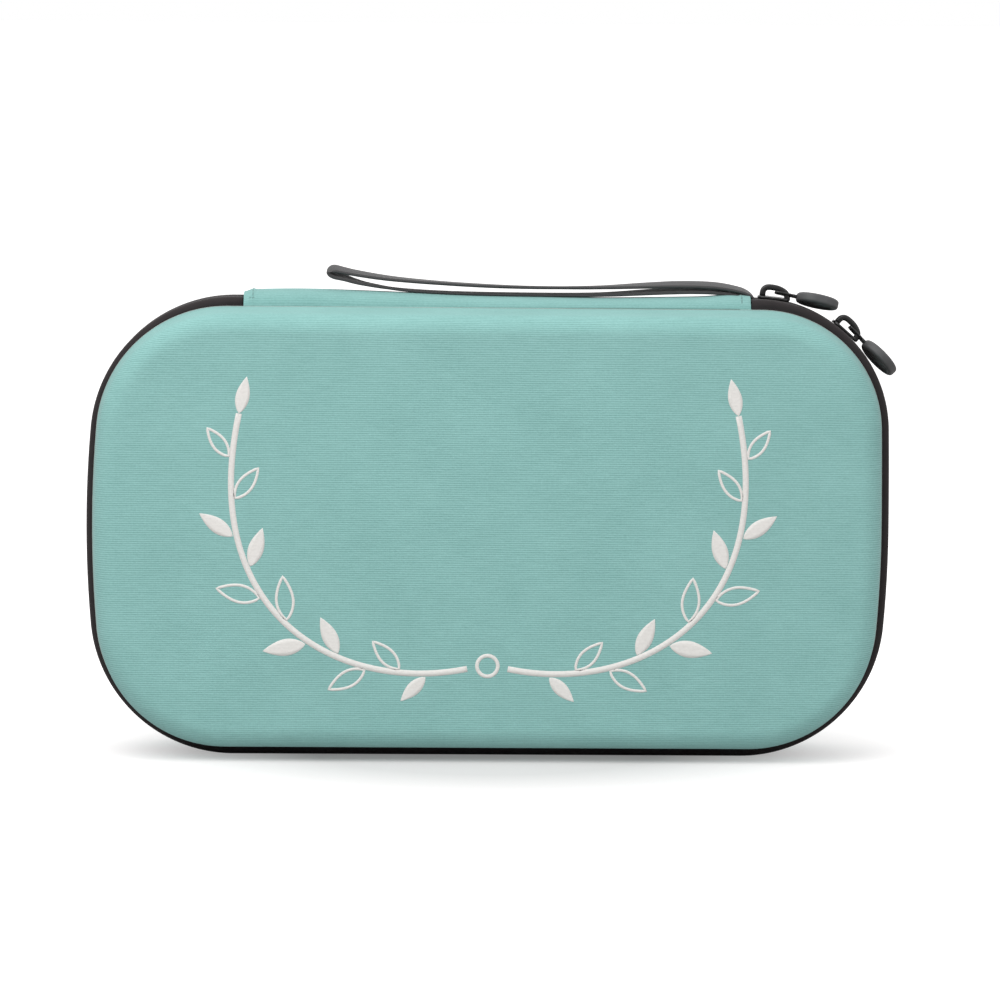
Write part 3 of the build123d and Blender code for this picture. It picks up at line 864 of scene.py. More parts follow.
def finish(name):
    """A finish of the case by name, made when it is first asked for."""
    if name not in FINISHES:
        colours = bpy.context.scene.case_colours
        makers = {
            "cover weave": (woven_cover, colours),
            # The spine's weave: weaker grooves, and its colour painted darker by 0.86 as painted
            # shade, because the spine faces up into more light.
            "spine weave": (woven_cover, colours, 0.5, 0.86),
            # Pale cut edge: the fibre ends, and a painted highlight along the rim.
            "cover edge": (cut_edge, colours.cover_edge),
            # The flange is the spine's teal fabric, coloured darker than the cover's dark shade:
            # painted shade along the seam under the spine.
            "flange": (cut_edge, shade(colours.cover_dark, 0.7)),
            "zip tape": (woven_tape, colours.tape, 0.7 * MM),
            "zip coil": (coil_nylon, shade(colours.tape, 0.8)),
            "binding": (woven_tape, shade(colours.elastic, 0.9), 1.0 * MM, 0.9),
            "lacquer": (lacquer, colours.lacquer),
            "rubber": (moulded_rubber, colours.rubber),
            "webbing": (ribbed_webbing, colours.webbing, 0.9 * MM),
            "elastic": (ribbed_webbing, colours.elastic, 1.3 * MM),
            "velvet": (short_pile, colours.lining),
            "loop pile": (short_pile, shade(colours.elastic, 0.8), 0.7 * MM),
            "hook pile": (short_pile, shade(colours.elastic, 1.2), 0.9 * MM),
            "net yarn": (sewing_thread, shade(colours.elastic, 1.15)),
            "foam": (foam_board, colours.elastic),
            "ink": (printed_ink, colours.printed),
            "teal thread": (sewing_thread, shade(colours.cover, 0.6)),
            "black thread": (sewing_thread, shade(colours.webbing, 1.25)),
        }
        maker, *values = makers[name]
        FINISHES[name] = maker(name, *values)
    return FINISHES[name]


# ---------------------------------------------------------------- wrist strap
# The strap's middle line from its upper end, out along the spine, round its loop and back under:
# x, y and z in millimetres, and the degrees that the webbing leans towards the front.
WRIST_ROUTE = [
    (92.2, 0, 160.0, 0), (91.6, 0, 160.8, 3), (90.2, 0, 161.8, 7), (88.1, 0, 162.8, 10),
    (81.1, 0, 164.2, 13), (74.1, 0, 164.7, 13), (64.0, 0, 164.7, 12), (53.1, 0, 164.2, 8),
    (39.2, 0, 163.5, 1), (25.2, 0, 163.3, -2), (11.3, 0, 163.4, -1), (-2.7, 0, 163.9, 1),
    (-16.7, 0, 164.7, 2), (-30.6, 0, 165.8, 5),
    (-39.0, 0, 166.8, 8), (-47.4, 0, 168.2, 11), (-51.6, 0, 169.1, 14), (-54.4, 0, 169.7, 17),
    (-55.6, 0, 168.5, 18), (-54.2, 0, 167.3, 16), (-50.5, 0, 166.5, 12), (-47.4, 0.1, 165.4, 8),
    (-43.2, 0.2, 164.3, 3), (-34.8, 0.6, 162.8, -2), (-26.0, 0.8, 161.9, 0), (-13.0, 0.8, 161.3, 0),
    (4.3, 0.8, 160.95, 1), (25.2, 0.8, 160.8, 2), (39.2, 0.6, 160.95, 3), (53.2, 0.3, 161.8, 8),
    (64.0, 0.2, 162.5, 12), (74.1, 0.2, 162.7, 13), (81.1, 0.2, 162.4, 13), (88.1, 0.2, 161.2, 9),
    (90.8, 0.2, 160.2, 4),
]


def smooth_line(name, points):
    """Points read from one smooth NURBS spline through its control points."""
    curve = bpy.data.curves.new(name, "CURVE")
    curve.dimensions = "3D"
    curve.resolution_u = 12
    spline = curve.splines.new("NURBS")
    spline.points.add(len(points) - 1)
    for point, place in zip(spline.points, points):
        point.co = (*place, 1)
    spline.order_u = 3
    spline.use_endpoint_u = True
    holder = bpy.data.objects.new(name, curve)
    bpy.context.scene.collection.objects.link(holder)
    bpy.context.view_layer.update()
    mesh = bpy.data.meshes.new_from_object(holder)
    line = np.array([vertex.co[:] for vertex in mesh.vertices])
    bpy.data.objects.remove(holder)
    bpy.data.meshes.remove(mesh)
    bpy.data.curves.remove(curve)
    return line


def make_wrist_strap(trim):
    """Flat webbing carried along the strap's line, leaning as set at the places of the route."""
    places = np.array(WRIST_ROUTE)
    line = smooth_line("wrist strap line", places[:, :3] * MM)
    tangents = tangents_of(line)
    reach = run_lengths(line)
    nearest = np.linalg.norm(line[None] - places[:, None, :3] * MM, axis=-1).argmin(axis=1)
    set_at = np.maximum.accumulate(reach[nearest])
    lean = np.radians(np.interp(reach, set_at, places[:, 3]))[:, None]
    side = repeated([0.0, 1.0, 0.0], line)
    up = np.cross(tangents, side)
    above = np.sign(up[:, 2:3] + 1e-9)
    across = side * np.cos(lean) + up * above * np.sin(lean)
    profile = flat_bar(trim.strap_width * 0.97, trim.strap_thickness, 0.4 * trim.strap_thickness)
    webbing = bar(carried(line, across, np.cross(tangents, across), profile))
    nodes = "wrist_webbing", "wrist_strap"
    strap = dress(webbing, "wrist_strap_webbing", "webbing", "strap", *nodes)


# ---------------------------------------------------------------- shells
CROWN_ACROSS, CROWN_UP = 0.47, 0.44  # shares of the case, from a face's middle to its crown's end
COVER_START, BOARD_START = 0.3 * MM, 0.4 * MM  # past the rim
LINING_START = 2.5 * MM  # before the end of the tape's sewn margin
EDGE_DEPTH, EDGE_OUT = 0.22 * MM, 0.05 * MM  # the cut edge's middle, past the rim and outwards
EDGE_HALF_DEPTH, EDGE_HALF_WIDTH = 0.2 * MM, 0.43 * MM


def crown(shape, x, z):
    """Rise of a face over its flat plane: full over the middle, fading to nothing at its edges."""
    across = np.clip((x / (CROWN_ACROSS * CASE_LENGTH)) ** 4, 0, 1)
    upwards = np.clip(((z - CASE_HEIGHT / 2) / (CROWN_UP * CASE_HEIGHT)) ** 4, 0, 1)
    return shape.face_crown * (1 - across) ** 2 * (1 - upwards) ** 2


FACE_SHARES = np.array([0.985, 0.96, 0.92, 0.86, 0.78, 0.68, 0.56, 0.42, 0.28, 0.14, 0.0])


def dome_grid(shape, outline, shares, start, side):
    """Points and pattern places of a dome, from a depth to its pole, at shares of its outline.

    The outline is a route, the inset of that route from the band, and a layer: how far the dome
    lies inside the outer skin.  The section is a leaning wall, then an arc of the face's radius
    whose normal turns from the wall's to the face's, then the face.  The pattern lies flat on the
    face and goes on down the wall along the outline's normal, so that it keeps its scale.  A dome
    on the woven cover's outline sags with it.
    """
    route, base_inset, layer = outline
    distances = shares * route.length
    taper = shape.wall_taper
    radius = shape.face_radius - layer
    depth = FACE_DEPTH - layer
    arc_depth = depth - radius
    arc_inset = wall_inset(shape, layer, arc_depth) + radius / math.cos(taper) - base_inset
    turn = np.linspace(taper, math.pi / 2, 13)
    wall = np.linspace(start, arc_depth + radius * math.sin(taper), 9)[:-1]
    depths = np.concatenate([wall, arc_depth + radius * np.sin(turn)])
    wall_insets = wall_inset(shape, layer, wall) - base_inset
    insets = np.concatenate([wall_insets, arc_inset - radius * np.cos(turn)])
    walls = in_band(route, distances, depths, insets, side)
    points, normals = route.at(distances)
    edge = points - arc_inset * normals
    down = run_lengths(np.c_[depths, insets])
    down = down[-1] - down
    wall_places = edge[:, None, :] + normals[:, None, :] * down[None, :, None]
    pole = np.array([0.0, CASE_HEIGHT / 2])
    flat = pole + (edge - pole)[:, None, :] * FACE_SHARES[None, :, None]
    rise = crown(shape, flat[..., 0], flat[..., 1])
    faces = np.stack([flat[..., 0], side * (depth + rise), flat[..., 1]], axis=-1)
    points = np.concatenate([walls, faces], axis=1)
    if base_inset:
        points = sagged(shape, points)
    return points, np.concatenate([wall_places, flat], axis=1)


def shell(shape, outer, inner, start, side):
    """Closed surface of a shell layer: its outer dome, its rim, and its inner dome."""
    route = inner[0]
    shares = route.lap() / route.length
    outer_points, outer_places = dome_grid(shape, outer, shares, start, side)
    inner_points, inner_places = dome_grid(shape, inner, shares, start, side)
    points = np.concatenate([outer_points[:, ::-1], inner_points], axis=1)
    places = np.concatenate([outer_places[:, ::-1], inner_places], axis=1)
    surface = Surface()
    surface.grid(points, np.concatenate([places, places[:1]]), closed_rows=True)
    return surface


def make_shells(shape):
    """Woven cover, its cut edge, foam board and velvet lining of both halves."""
    band, rim = band_route(shape), rim_route(shape)
    board = shape.cover + shape.core
    lining = board + bpy.context.scene.case_zip.tape
    gap = 0.04 * MM
    woven = (rim, RIM_INSET, 0.0), (rim, RIM_INSET, shape.cover), RIM_DEPTH + COVER_START
    foam = (rim, RIM_INSET, shape.cover + gap), (band, 0.0, board - gap), RIM_DEPTH + BOARD_START
    velvet = (band, 0.0, board + gap), (band, 0.0, lining), MARGIN_DEPTH - LINING_START
    layers = (
        ("woven_cover", "cover weave", "teal_fabric", "cover", woven),
        ("foam_board", "foam", "foam_board", "core", foam),
        ("velvet_lining", "velvet", "lining_fabric", "lining", velvet),
    )
    for half, side in SIDES.items():
        for name, look, slot, node, bounds in layers:
            layer = shell(shape, *bounds, side)
            dress(layer, f"{half}_{name}", look, half, slot, f"{half}_{node}")
            if node == "cover":
                make_cut_edge(shape, rim, half, side)


def make_cut_edge(shape, route, half, side):
    """Thin rim along the cover's cut edge: a flattened bar carried along the outline."""
    distances = route.lap()
    turn = full_turn(8)
    middle = shape.cover / 2
    depths = RIM_DEPTH + EDGE_DEPTH + EDGE_HALF_DEPTH * np.sin(turn)
    insets = middle - EDGE_OUT + EDGE_HALF_WIDTH * np.cos(turn)
    points = in_band(route, distances, depths, insets, side)
    places = pairs(np.append(distances, route.length), np.linspace(0, 2 * MM, 9))
    edge = tube(sagged(shape, points), places, ring=True)
    dress(edge, f"{half}_cover_cut_edge", "cover edge", half, "teal_fabric")


# ---------------------------------------------------------------- printed ornament
# One sprig of the ornament in millimetres, by the (x, z) control points of its stem; the other is
# its mirror.
STEM = [(7.0, 33.0), (50.0, 24.0), (101.0, 50.0), (86.0, 121.0)]
STEM_LINE = 2.1
LEAF_LINE = 0.95
LEAF_TURN = math.radians(42)  # between the stem and a leaf
LEAVES = [  # share along the stem, side of the stem, length, width, and whether the leaf is filled
    (0.10, -1, 12, 4.6, True), (0.17, 1, 13, 5.0, False), (0.26, -1, 14, 5.4, False),
    (0.34, 1, 14, 5.4, True), (0.43, -1, 15, 5.8, True), (0.51, 1, 15, 5.8, False),
    (0.60, -1, 15, 5.8, False), (0.68, 1, 14, 5.4, True), (0.76, -1, 14, 5.2, True),
    (0.84, 1, 13, 4.8, False), (0.92, -1, 12, 4.4, False), (1.0, 0, 13, 4.8, True),
]
RING_RADIUS, RING_HEIGHT, RING_LINE = 3.6, 34.0, 1.3
INK_OVER, INK_UNDER = 0.06 * MM, 0.05 * MM  # how far the ink goes over and under the cover's skin


def bezier(controls, share):
    """Points and unit tangents of a cubic curve through four control points."""
    controls = np.array(controls, float)
    share = np.atleast_1d(share)[:, None]
    rest = 1 - share
    a, b, c, d = controls
    points = rest**3 * a + 3 * rest**2 * share * b + 3 * rest * share**2 * c + share**3 * d
    return points, unit(rest**2 * (b - a) + 2 * rest * share * (c - b) + share**2 * (d - c))


def printed(surface, shape, rows, mirrored, closed=False):
    """Lay a strip of ink on the lid's face, by rows of points in millimetres across the strip."""
    rows = np.array(rows) * MM
    x = rows[..., 0] * (-1 if mirrored else 1)
    z = rows[..., 1]
    face = FACE_DEPTH + crown(shape, x, z)
    top = np.stack([x, -(face + INK_OVER), z], axis=-1)
    under = np.stack([x, -(face - INK_UNDER), z], axis=-1)
    points = np.concatenate([top, under[:, ::-1]], axis=1)
    flat = np.concatenate([points, points[:, :1]], axis=1)[..., [0, 2]]
    if closed:
        flat = np.concatenate([flat, flat[:1]])
    surface.grid(points, flat, closed_rows=closed, closed_columns=True, caps=not closed)


def stroke(surface, shape, line, width, mirrored, closed=False):
    """Lay a line of ink of even width."""
    slope = tangents_round(line) if closed else tangents_of(line)
    across = np.c_[-slope[:, 1], slope[:, 0]]
    offsets = np.linspace(-0.5, 0.5, 3)[None, :, None] * width
    printed(surface, shape, line[:, None] + across[:, None] * offsets, mirrored, closed)


def leaf_edges(root, way, length, width):
    """Both edges of a pointed leaf: half its width is that of a sine, drawn out towards the tip."""
    share = np.linspace(0, 1, 17)
    half = width / 2 * np.sin(math.pi * share**0.85) ** 0.9 + 0.02
    across = np.array([-way[1], way[0]])
    spine = root + np.outer(share * length, way)
    return spine + half[:, None] * across, spine - half[:, None] * across


def make_print(shape):
    """Two mirrored leafy sprigs, open at the top, that meet at a small ring."""
    ink = Surface()
    for mirrored in (False, True):
        stem, _ = bezier(STEM, np.linspace(0, 1, 61))
        stroke(ink, shape, stem, STEM_LINE, mirrored)
        for share, side, length, width, filled in LEAVES:
            root, tangent = bezier(STEM, share)
            (x, z), turn = tangent[0], LEAF_TURN * side
            way = np.array(
                [x * math.cos(turn) - z * math.sin(turn), x * math.sin(turn) + z * math.cos(turn)]
            )
            root = root[0] + way * (STEM_LINE * 0.9 if side else 0.0)
            left, right = leaf_edges(root, way, length, width)
            if filled:
                shares = np.linspace(0, 1, 5)[None, :, None]
                rows = left[:, None] * (1 - shares) + right[:, None] * shares
                printed(ink, shape, rows, mirrored)
            else:
                rim = np.concatenate([left, right[-2:0:-1]])
                stroke(ink, shape, rim, LEAF_LINE, mirrored, closed=True)
    ring = round_bar(RING_RADIUS, 40) + (0.0, RING_HEIGHT)
    stroke(ink, shape, ring, RING_LINE, False, closed=True)
    dress(ink, "lid_printed_sprigs", "ink", "lid", "teal_fabric")


# ---------------------------------------------------------------- zip
def zip_range(route):
    """Distances of the zip's two ends: at the spine's left end and, a lap on, at its right."""
    start = route.points[0][0]
    gap = 0.3 * MM
    return start - SPINE_LEFT + gap, route.length + start - SPINE_RIGHT - gap


def slider_distance(route, shape, turn):
    """Distance along the outline of a slider at an angle from the parking corner's top."""
    return route.length - shape.parking_radius * turn


MOUTH_REACH = 1.8 * MM  # from a slider's middle to where the tapes are fully parted
CLOSED_REACH = 4.2 * MM  # from a slider's middle to where they are closed


def tape_edge(route, shape, zipper, distances):
    """Half the gap between the tapes: closed outside the two sliders and parted between them."""
    second = slider_distance(route, shape, zipper.second_slider)
    first = slider_distance(route, shape, zipper.first_slider)
    opening = smooth_step(second - CLOSED_REACH, second + MOUTH_REACH, distances)
    closing = smooth_step(first - MOUTH_REACH, first + CLOSED_REACH, distances)
    return zipper.closed_edge + (zipper.parted_edge - zipper.closed_edge) * (opening - closing)


def make_zip(shape, zipper):
    """Tape and coil of both halves, carried along the outline from one spine end to the other."""
    route = band_route(shape)
    first, last = zip_range(route)
    for half, side in SIDES.items():
        make_tape(shape, zipper, route, half, side, first, last)
        make_coil(shape, zipper, route, half, side, first, last)


def make_tape(shape, zipper, route, half, side, first, last):
    """Tape: flat band, quarter round over the rim, and the margin sewn inside the wall."""
    distances = route.stations(first, last, 6 * MM, math.radians(2.0))
    edge = tape_edge(route, shape, zipper, distances)
    bend = RIM_DEPTH - zipper.tape_bend
    turn = np.linspace(0, math.pi / 2, 9)
    board = shape.cover + shape.core
    sewn = board + zipper.tape
    back = RIM_DEPTH - zipper.tape
    inner_bend = zipper.tape_bend - zipper.tape
    fixed_depths = np.concatenate(
        [
            bend + zipper.tape_bend * np.sin(turn),
            [RIM_DEPTH, MARGIN_DEPTH, MARGIN_DEPTH, back],
            bend + inner_bend * np.sin(turn[::-1]),
        ]
    )
    margin = ((board, RIM_DEPTH), (board, MARGIN_DEPTH), (sewn, MARGIN_DEPTH), (sewn, back))
    fixed_insets = np.concatenate(
        [
            zipper.tape_bend * (1 - np.cos(turn)),
            [wall_inset(shape, layer, depth) for layer, depth in margin],
            zipper.tape_bend - inner_bend * np.cos(turn[::-1]),
        ]
    )
    flat = edge[:, None] + (bend - edge)[:, None] * np.linspace(0, 1, 5)[:-1]
    depths = np.concatenate([flat, repeated(fixed_depths, distances), flat[:, ::-1]], axis=1)
    insets = np.concatenate([np.zeros(4), fixed_insets, np.full(4, zipper.tape)])
    chamfer = 0.12 * MM
    insets[0] = chamfer
    insets[-1] = zipper.tape - chamfer
    points = in_band(route, distances, depths, insets, side)
    tape = tube(points, pairs(distances, girth(np.c_[depths[0], insets])))
    nodes = f"{half}_zip_tape", f"{half}_zip_tape_corner"
    dress(tape, f"{half}_woven_zip_tape", "zip tape", half, "zip_tape", *nodes)


COIL_HEADS = 0.55 * MM  # how far the coil stands past its tape's edge
COIL_GAP = 0.05 * MM  # between coil and tape


def make_coil(shape, zipper, route, half, side, first, last):
    """Coil: a flattened helix of nylon thread on the inside of the tape's edge.

    One turn advances by the pitch.  Across the tape the thread goes out and back as a cosine, and
    off the tape as a sine, both flattened by a power.  The lid's coil is half a pitch ahead, so
    that the two mesh.  Where the thread runs nearly straight off the tape, its section is set by
    the tape's own direction.
    """
    steps = 12
    turns = int((last - first) / zipper.coil_pitch) - 1
    phase = np.arange(turns * steps + 1) / steps
    shift = 0.0 if half == "base" else 0.5
    distances = first + (phase + 0.5 + shift) * zipper.coil_pitch
    wire = zipper.coil_wire / 2
    angle = 2 * math.pi * phase
    swing, lift = squared(np.cos(angle), 0.7), squared(np.sin(angle), 0.7)
    edge = tape_edge(route, shape, zipper, distances)
    depth = edge - COIL_HEADS + zipper.coil_width / 2 * (1 - swing)
    inset = zipper.tape + COIL_GAP + wire + (zipper.coil_height / 2 - wire) * (1 + lift)
    line = line_in_band(route, distances, depth, inset, side)
    tangents = tangents_of(line)
    outwards, along = route.ways(distances)
    spin = np.cross(outwards, tangents)
    flatness = np.linalg.norm(spin, axis=1, keepdims=True)
    steep = np.cross(tangents, along)
    spin = unit(np.where(flatness > 0.35, spin / np.maximum(flatness, 1e-6), steep))
    coil = tube(carried(line, spin, np.cross(tangents, spin), round_bar(wire, 5)))
    nodes = f"{half}_zip_coil", f"{half}_zip_coil_corner"
    dress(coil, f"{half}_nylon_coil", "zip coil", half, "zip_coil", *nodes)


# ---------------------------------------------------------------- sliders and pulls
# Lengths, widths and half thicknesses of a slider's parts, and heights of their middles over the
# band's outline.
PLATE_LENGTH, PLATE_WIDTH, PLATE_HALF = 11 * MM, 9.2 * MM, 0.5 * MM
PLATE_HEIGHTS = 0.56 * MM, -3.75 * MM
RAIL_LENGTH, RAIL_WIDTH, RAIL_HALF = PLATE_LENGTH - 4.4 * MM, 0.85 * MM, 0.95 * MM
RAIL_HEIGHT = -2.4 * MM
POST_LENGTH, POST_WIDTH, POST_HALF = 3 * MM, 1.6 * MM, 1.95 * MM
POST_HEIGHT = -1.6 * MM
POST_PLACE = 3 * MM  # from the slider's middle to its mouth
BRIDGE_WIDTH, BRIDGE_THICKNESS = 2.4 * MM, 2.05 * MM
BRIDGE_ARCH = [  # along the slider and off the tape, in millimetres
    (-3.9, 0.3), (-4.0, 2.9), (-2.7, 4.2), (1.2, 4.15), (4.2, 2.9), (4.8, 1.1), (4.8, 0.3),
]
LINK_LENGTH, LINK_HALF_WIDTH = 5.6 * MM, 1.78 * MM  # of the eye, to the middle of its bar
LINK_LOOP = [(0, 0), (0, 1), (1, 1), (1, 0), (1, -1), (0, -1), (0, 0)]
LINK_BAR = 0.85 * MM
TONGUE_WIDTH, TONGUE_HALF = 3.2 * MM, 0.5 * MM
TONGUE_HOLD = 2.5 * MM  # how far the tongue goes into the disc
DISH_DEPTH, DISH_INSET = 0.6 * MM, 2.3 * MM


def slider_plane(shape, turn):
    """Plane on the band at an angle of the parking corner: along the zip, across it, outwards."""
    x, z = parking_centre(shape)
    along = np.array([math.cos(turn), 0, -math.sin(turn)])
    out = np.array([math.sin(turn), 0, math.cos(turn)])
    origin = np.array([x, 0, z]) + shape.parking_radius * out
    return origin, along, np.array([0.0, 1.0, 0.0]), out


def pull_plane(shape, zipper, turn):
    """Plane of a slider's pull: origin on its pivot, along to the disc, across and outwards."""
    origin, along, across, out = slider_plane(shape, turn)
    origin = origin + along * zipper.pivot_along + out * zipper.pivot_height
    droop, roll = zipper.pull_droop, zipper.pull_roll
    raised = along * math.sin(droop) + out * math.cos(droop)
    way = along * math.cos(droop) - out * math.sin(droop)
    lean = raised * math.cos(roll) + across * math.sin(roll)
    return origin, way, np.cross(lean, way), lean


def make_sliders(shape, zipper):
    """Both sliders and their pulls."""
    for number, turn in ((1, zipper.first_slider), (2, zipper.second_slider)):
        plane = slider_plane(shape, turn)
        make_slider_body(shape, plane, number, 1 if number == 1 else -1)
        make_bridge(plane, number)
        pull = pull_plane(shape, zipper, turn)
        make_link(zipper, pull, number)
        make_disc(zipper, pull, number)


def lifted(plane, height, along=0.0):
    """A plane moved outwards, and along its own x."""
    origin, x_way, y_way, out_way = plane
    return origin + height * out_way + along * x_way, x_way, y_way, out_way


def dress_metal(surface, body, node):
    """Make a lacquered part of a slider or a pull."""
    dress(surface, f"{body}_lacquered_{node}", "lacquer", body, "slider_metal", f"{body}_{node}")


def make_slider_body(shape, plane, number, mouth):
    """Slider: two plates, a rail along each edge of the inner one, and the post between them.

    The plates follow the parking corner, a little flatter than it.
    """
    bend = 0.7 * (0.5 / shape.parking_radius)
    plate = rounded_rectangle(PLATE_LENGTH, PLATE_WIDTH, 2.4 * MM)
    body = Surface()
    for height in PLATE_HEIGHTS:
        pillow(body, plate, 0.35 * MM, PLATE_HALF, lifted(plane, height), bend=bend)
    for way in (-1, 1):
        middle = (0, way * (PLATE_WIDTH - RAIL_WIDTH) / 2)
        rail = rounded_rectangle(RAIL_LENGTH, RAIL_WIDTH, 0.3 * MM, middle)
        pillow(body, rail, 0.25 * MM, RAIL_HALF, lifted(plane, RAIL_HEIGHT))
    post = rounded_rectangle(POST_LENGTH, POST_WIDTH, 0.7 * MM, (mouth * POST_PLACE, 0))
    pillow(body, post, 0.1 * MM, POST_HALF, lifted(plane, POST_HEIGHT))
    dress_metal(body, f"slider_{number}", "body")


def arc_line(points, share, steps=5):
    """Line through set points with its corners rounded, each over a share of both its runs.

    A corner is the quadratic curve from a point on one run, by the corner, to a point on the next.
    """
    points = np.array(points, float)
    line = [points[:1]]
    turn = np.linspace(0, 1, steps + 1)[:, None]
    for before, corner, after in zip(points, points[1:], points[2:]):
        start = corner + (before - corner) * share
        end = corner + (after - corner) * share
        line.append((1 - turn) ** 2 * start + 2 * turn * (1 - turn) * corner + turn**2 * end)
    line.append(points[-1:])
    return np.concatenate(line)


def make_bridge(plane, number):
    """Bridge over the slider that holds the pull: a flat bar carried over a low arch."""
    line = arc_line([(x * MM, z * MM) for x, z in BRIDGE_ARCH], 0.45)
    line = upright(line[:, 0], line[:, 1])
    across = repeated([0.0, 1.0, 0.0], line)
    up = np.cross(tangents_of(line), across)
    profile = flat_bar(BRIDGE_WIDTH, BRIDGE_THICKNESS, 0.65 * MM)
    bridge = bar(placed(carried(line, across, up, profile), plane))
    dress_metal(bridge, f"slider_{number}", "bridge")


def make_link(zipper, plane, number):
    """Link from the bridge to the disc: a bent bar round its eye, and a flat tongue in the disc."""
    corners = [(x * LINK_LENGTH, y * LINK_HALF_WIDTH) for x, y in LINK_LOOP]
    line = arc_line(corners, 0.32, 4)[1:-1]
    line = np.c_[line, np.zeros(len(line))]
    up = repeated([0.0, 0.0, 1.0], line)
    across = np.cross(up, tangents_round(line))
    profile = flat_bar(LINK_BAR, LINK_BAR, 0.36 * MM)
    link = tube(placed(carried(line, across, up, profile), plane), ring=True)
    tip = zipper.disc_reach - zipper.disc_diameter / 2 + TONGUE_HOLD
    middle = ((tip + LINK_LENGTH) / 2, 0)
    tongue = rounded_rectangle(tip - LINK_LENGTH, TONGUE_WIDTH, 0.6 * MM, middle)
    pillow(link, tongue, 0.3 * MM, TONGUE_HALF, plane)
    dress_metal(link, f"pull_{number}", "link")


def make_disc(zipper, plane, number):
    """Pull disc: a thick round puck with rounded edges and a shallow dish in each face."""
    puck = circle(zipper.disc_diameter / 2)
    disc = Surface()
    centre = lifted(plane, 0.0, zipper.disc_reach)
    half = zipper.disc_thickness / 2
    pillow(disc, puck, 1.0 * MM, half, centre, DISH_DEPTH, DISH_INSET, steps=6)
    pull = f"pull_{number}"
    dress(disc, f"{pull}_rubber_disc", "rubber", pull, "pull_rubber", f"{pull}_disc")


# ---------------------------------------------------------------- spine
SPINE_SEAM_Z = 0.1553  # where the spine's fabric goes into the seam along each shell
SPINE_LINER_Z = 0.1535  # where its liner does
LINER_HALF_WIDTH = 8.5 * MM
SECTION_POWERS = 3.4, 2.1  # of the spine's squared section
SPREAD = 0.8  # power that spreads the points along the section
COVER_THICKNESS = 0.75 * MM
LINER_LAYER, LINER_THICKNESS = 0.8 * MM, 0.7 * MM  # inside the cover's outer face
HEM_FOLD = 0.3 * MM  # how far a hem's fold stands up
HEM_EDGE = 0.25 * MM  # half the length over which it does
RIPPLE = 0.08 * MM
LEFT_BELL = 0.12, 0.27  # middle and width of the ridge's rise, as shares of the spine's length
RIGHT_BELL = 0.65 * MM, 80 * MM, 22 * MM  # height, middle and width
FOLD_BELL = 0.7 * MM, 84 * MM, 6.5 * MM
SHOULDER_DROP, SHOULDER_LENGTH = 0.9 * MM, 3.5 * MM
HEM_PITCH, BAR_PITCH = 2.3 * MM, 0.75 * MM  # of the stitches along the hems and of the dense bar
LEFT_HEM_ROW, RIGHT_HEM_ROW = 0.6 * MM, 0.7 * MM  # from a hem's fold to its row of stitches
BAR_ROWS = 2.3 * MM, 3.3 * MM  # from the spine's left end
BAR_SHARE = 0.38  # of the section, that the bar takes up
SPINE_THREAD_LIFT = 0.32 * MM


def bell(x, height, middle, width):
    """A soft bell: its height times e to the minus square of the way from its middle by width."""
    return height * np.exp(-(((x - middle) / width) ** 2))


def spine_top(trim, x):
    """Height of the spine's ridge: three soft bells over the band, and a shoulder at its left."""
    share = (x - SPINE_LEFT) / (SPINE_RIGHT - SPINE_LEFT)
    left = bell(share, trim.spine_rise, *LEFT_BELL)
    right = bell(x, *RIGHT_BELL)
    fold = bell(x, *FOLD_BELL)
    shoulder = SHOULDER_DROP * (1 - smooth_step(0, SHOULDER_LENGTH, x - SPINE_LEFT))
    return CASE_HEIGHT + left + right + fold - shoulder


def spine_half(trim, x, shares, seam_depth, seam_height, layer):
    """Depth and height of half the spine's section: a squared ellipse from seam to ridge."""
    depth = (seam_depth - layer) * shares
    rise = np.clip(1 - shares ** SECTION_POWERS[0], 0, 1) ** (1 / SECTION_POWERS[1])
    top = spine_top(trim, x)[:, None] - layer
    height = seam_height + (top - seam_height) * rise[None]
    return np.tile(depth, (len(x), 1)), height


def spine_shares(count):
    """Shares of the way from the spine's ridge, 0, to its seam, 1, in falling order."""
    return np.sin(np.linspace(math.pi / 2, 0, count)) ** SPREAD


def spine_surface(trim, side, seam_depth, seam_height, layer, thickness, hem):
    """Closed shell of half the spine, from its seam on a shell to its ridge."""
    ends = 2 * trim.hem_width
    stations = np.concatenate(
        [
            np.linspace(SPINE_LEFT, SPINE_LEFT + ends, 17),
            np.linspace(SPINE_LEFT, SPINE_RIGHT, 81)[4:-4],
            np.linspace(SPINE_RIGHT - ends, SPINE_RIGHT, 17),
        ]
    )
    shares = spine_shares(19)
    seam = seam_depth, seam_height
    outer_depth, outer_height = spine_half(trim, stations, shares, *seam, layer)
    inner_depth, inner_height = spine_half(trim, stations, shares, *seam, layer + thickness)
    if hem:
        inside = np.minimum(stations - SPINE_LEFT, SPINE_RIGHT - stations)
        flat = smooth_step(trim.hem_width - HEM_EDGE, trim.hem_width + HEM_EDGE, inside)
        fold = HEM_FOLD * (1 - flat)
        ripple = RIPPLE * np.sin(stations / (9.7 * MM)) * np.sin(stations / (23 * MM) + 1.0)
        outer_height = outer_height + (fold + ripple)[:, None]
        outer_depth = outer_depth + (fold[:, None] * (shares[None] > 0.9))
    depth = np.concatenate([outer_depth, inner_depth[:, ::-1]], axis=1)
    height = np.concatenate([outer_height, inner_height[:, ::-1]], axis=1)
    x = np.tile(stations[:, None], (1, depth.shape[1]))
    points = np.stack([x, side * depth, height], axis=-1)
    return tube(points, pairs(stations, girth(points[len(points) // 2])))


def bend_with_spine(piece, half, slot):
    """Bake a piece's transform into its mesh. The slot is not used."""
    if half == "base":
        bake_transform(piece)
    else:
        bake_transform(piece)


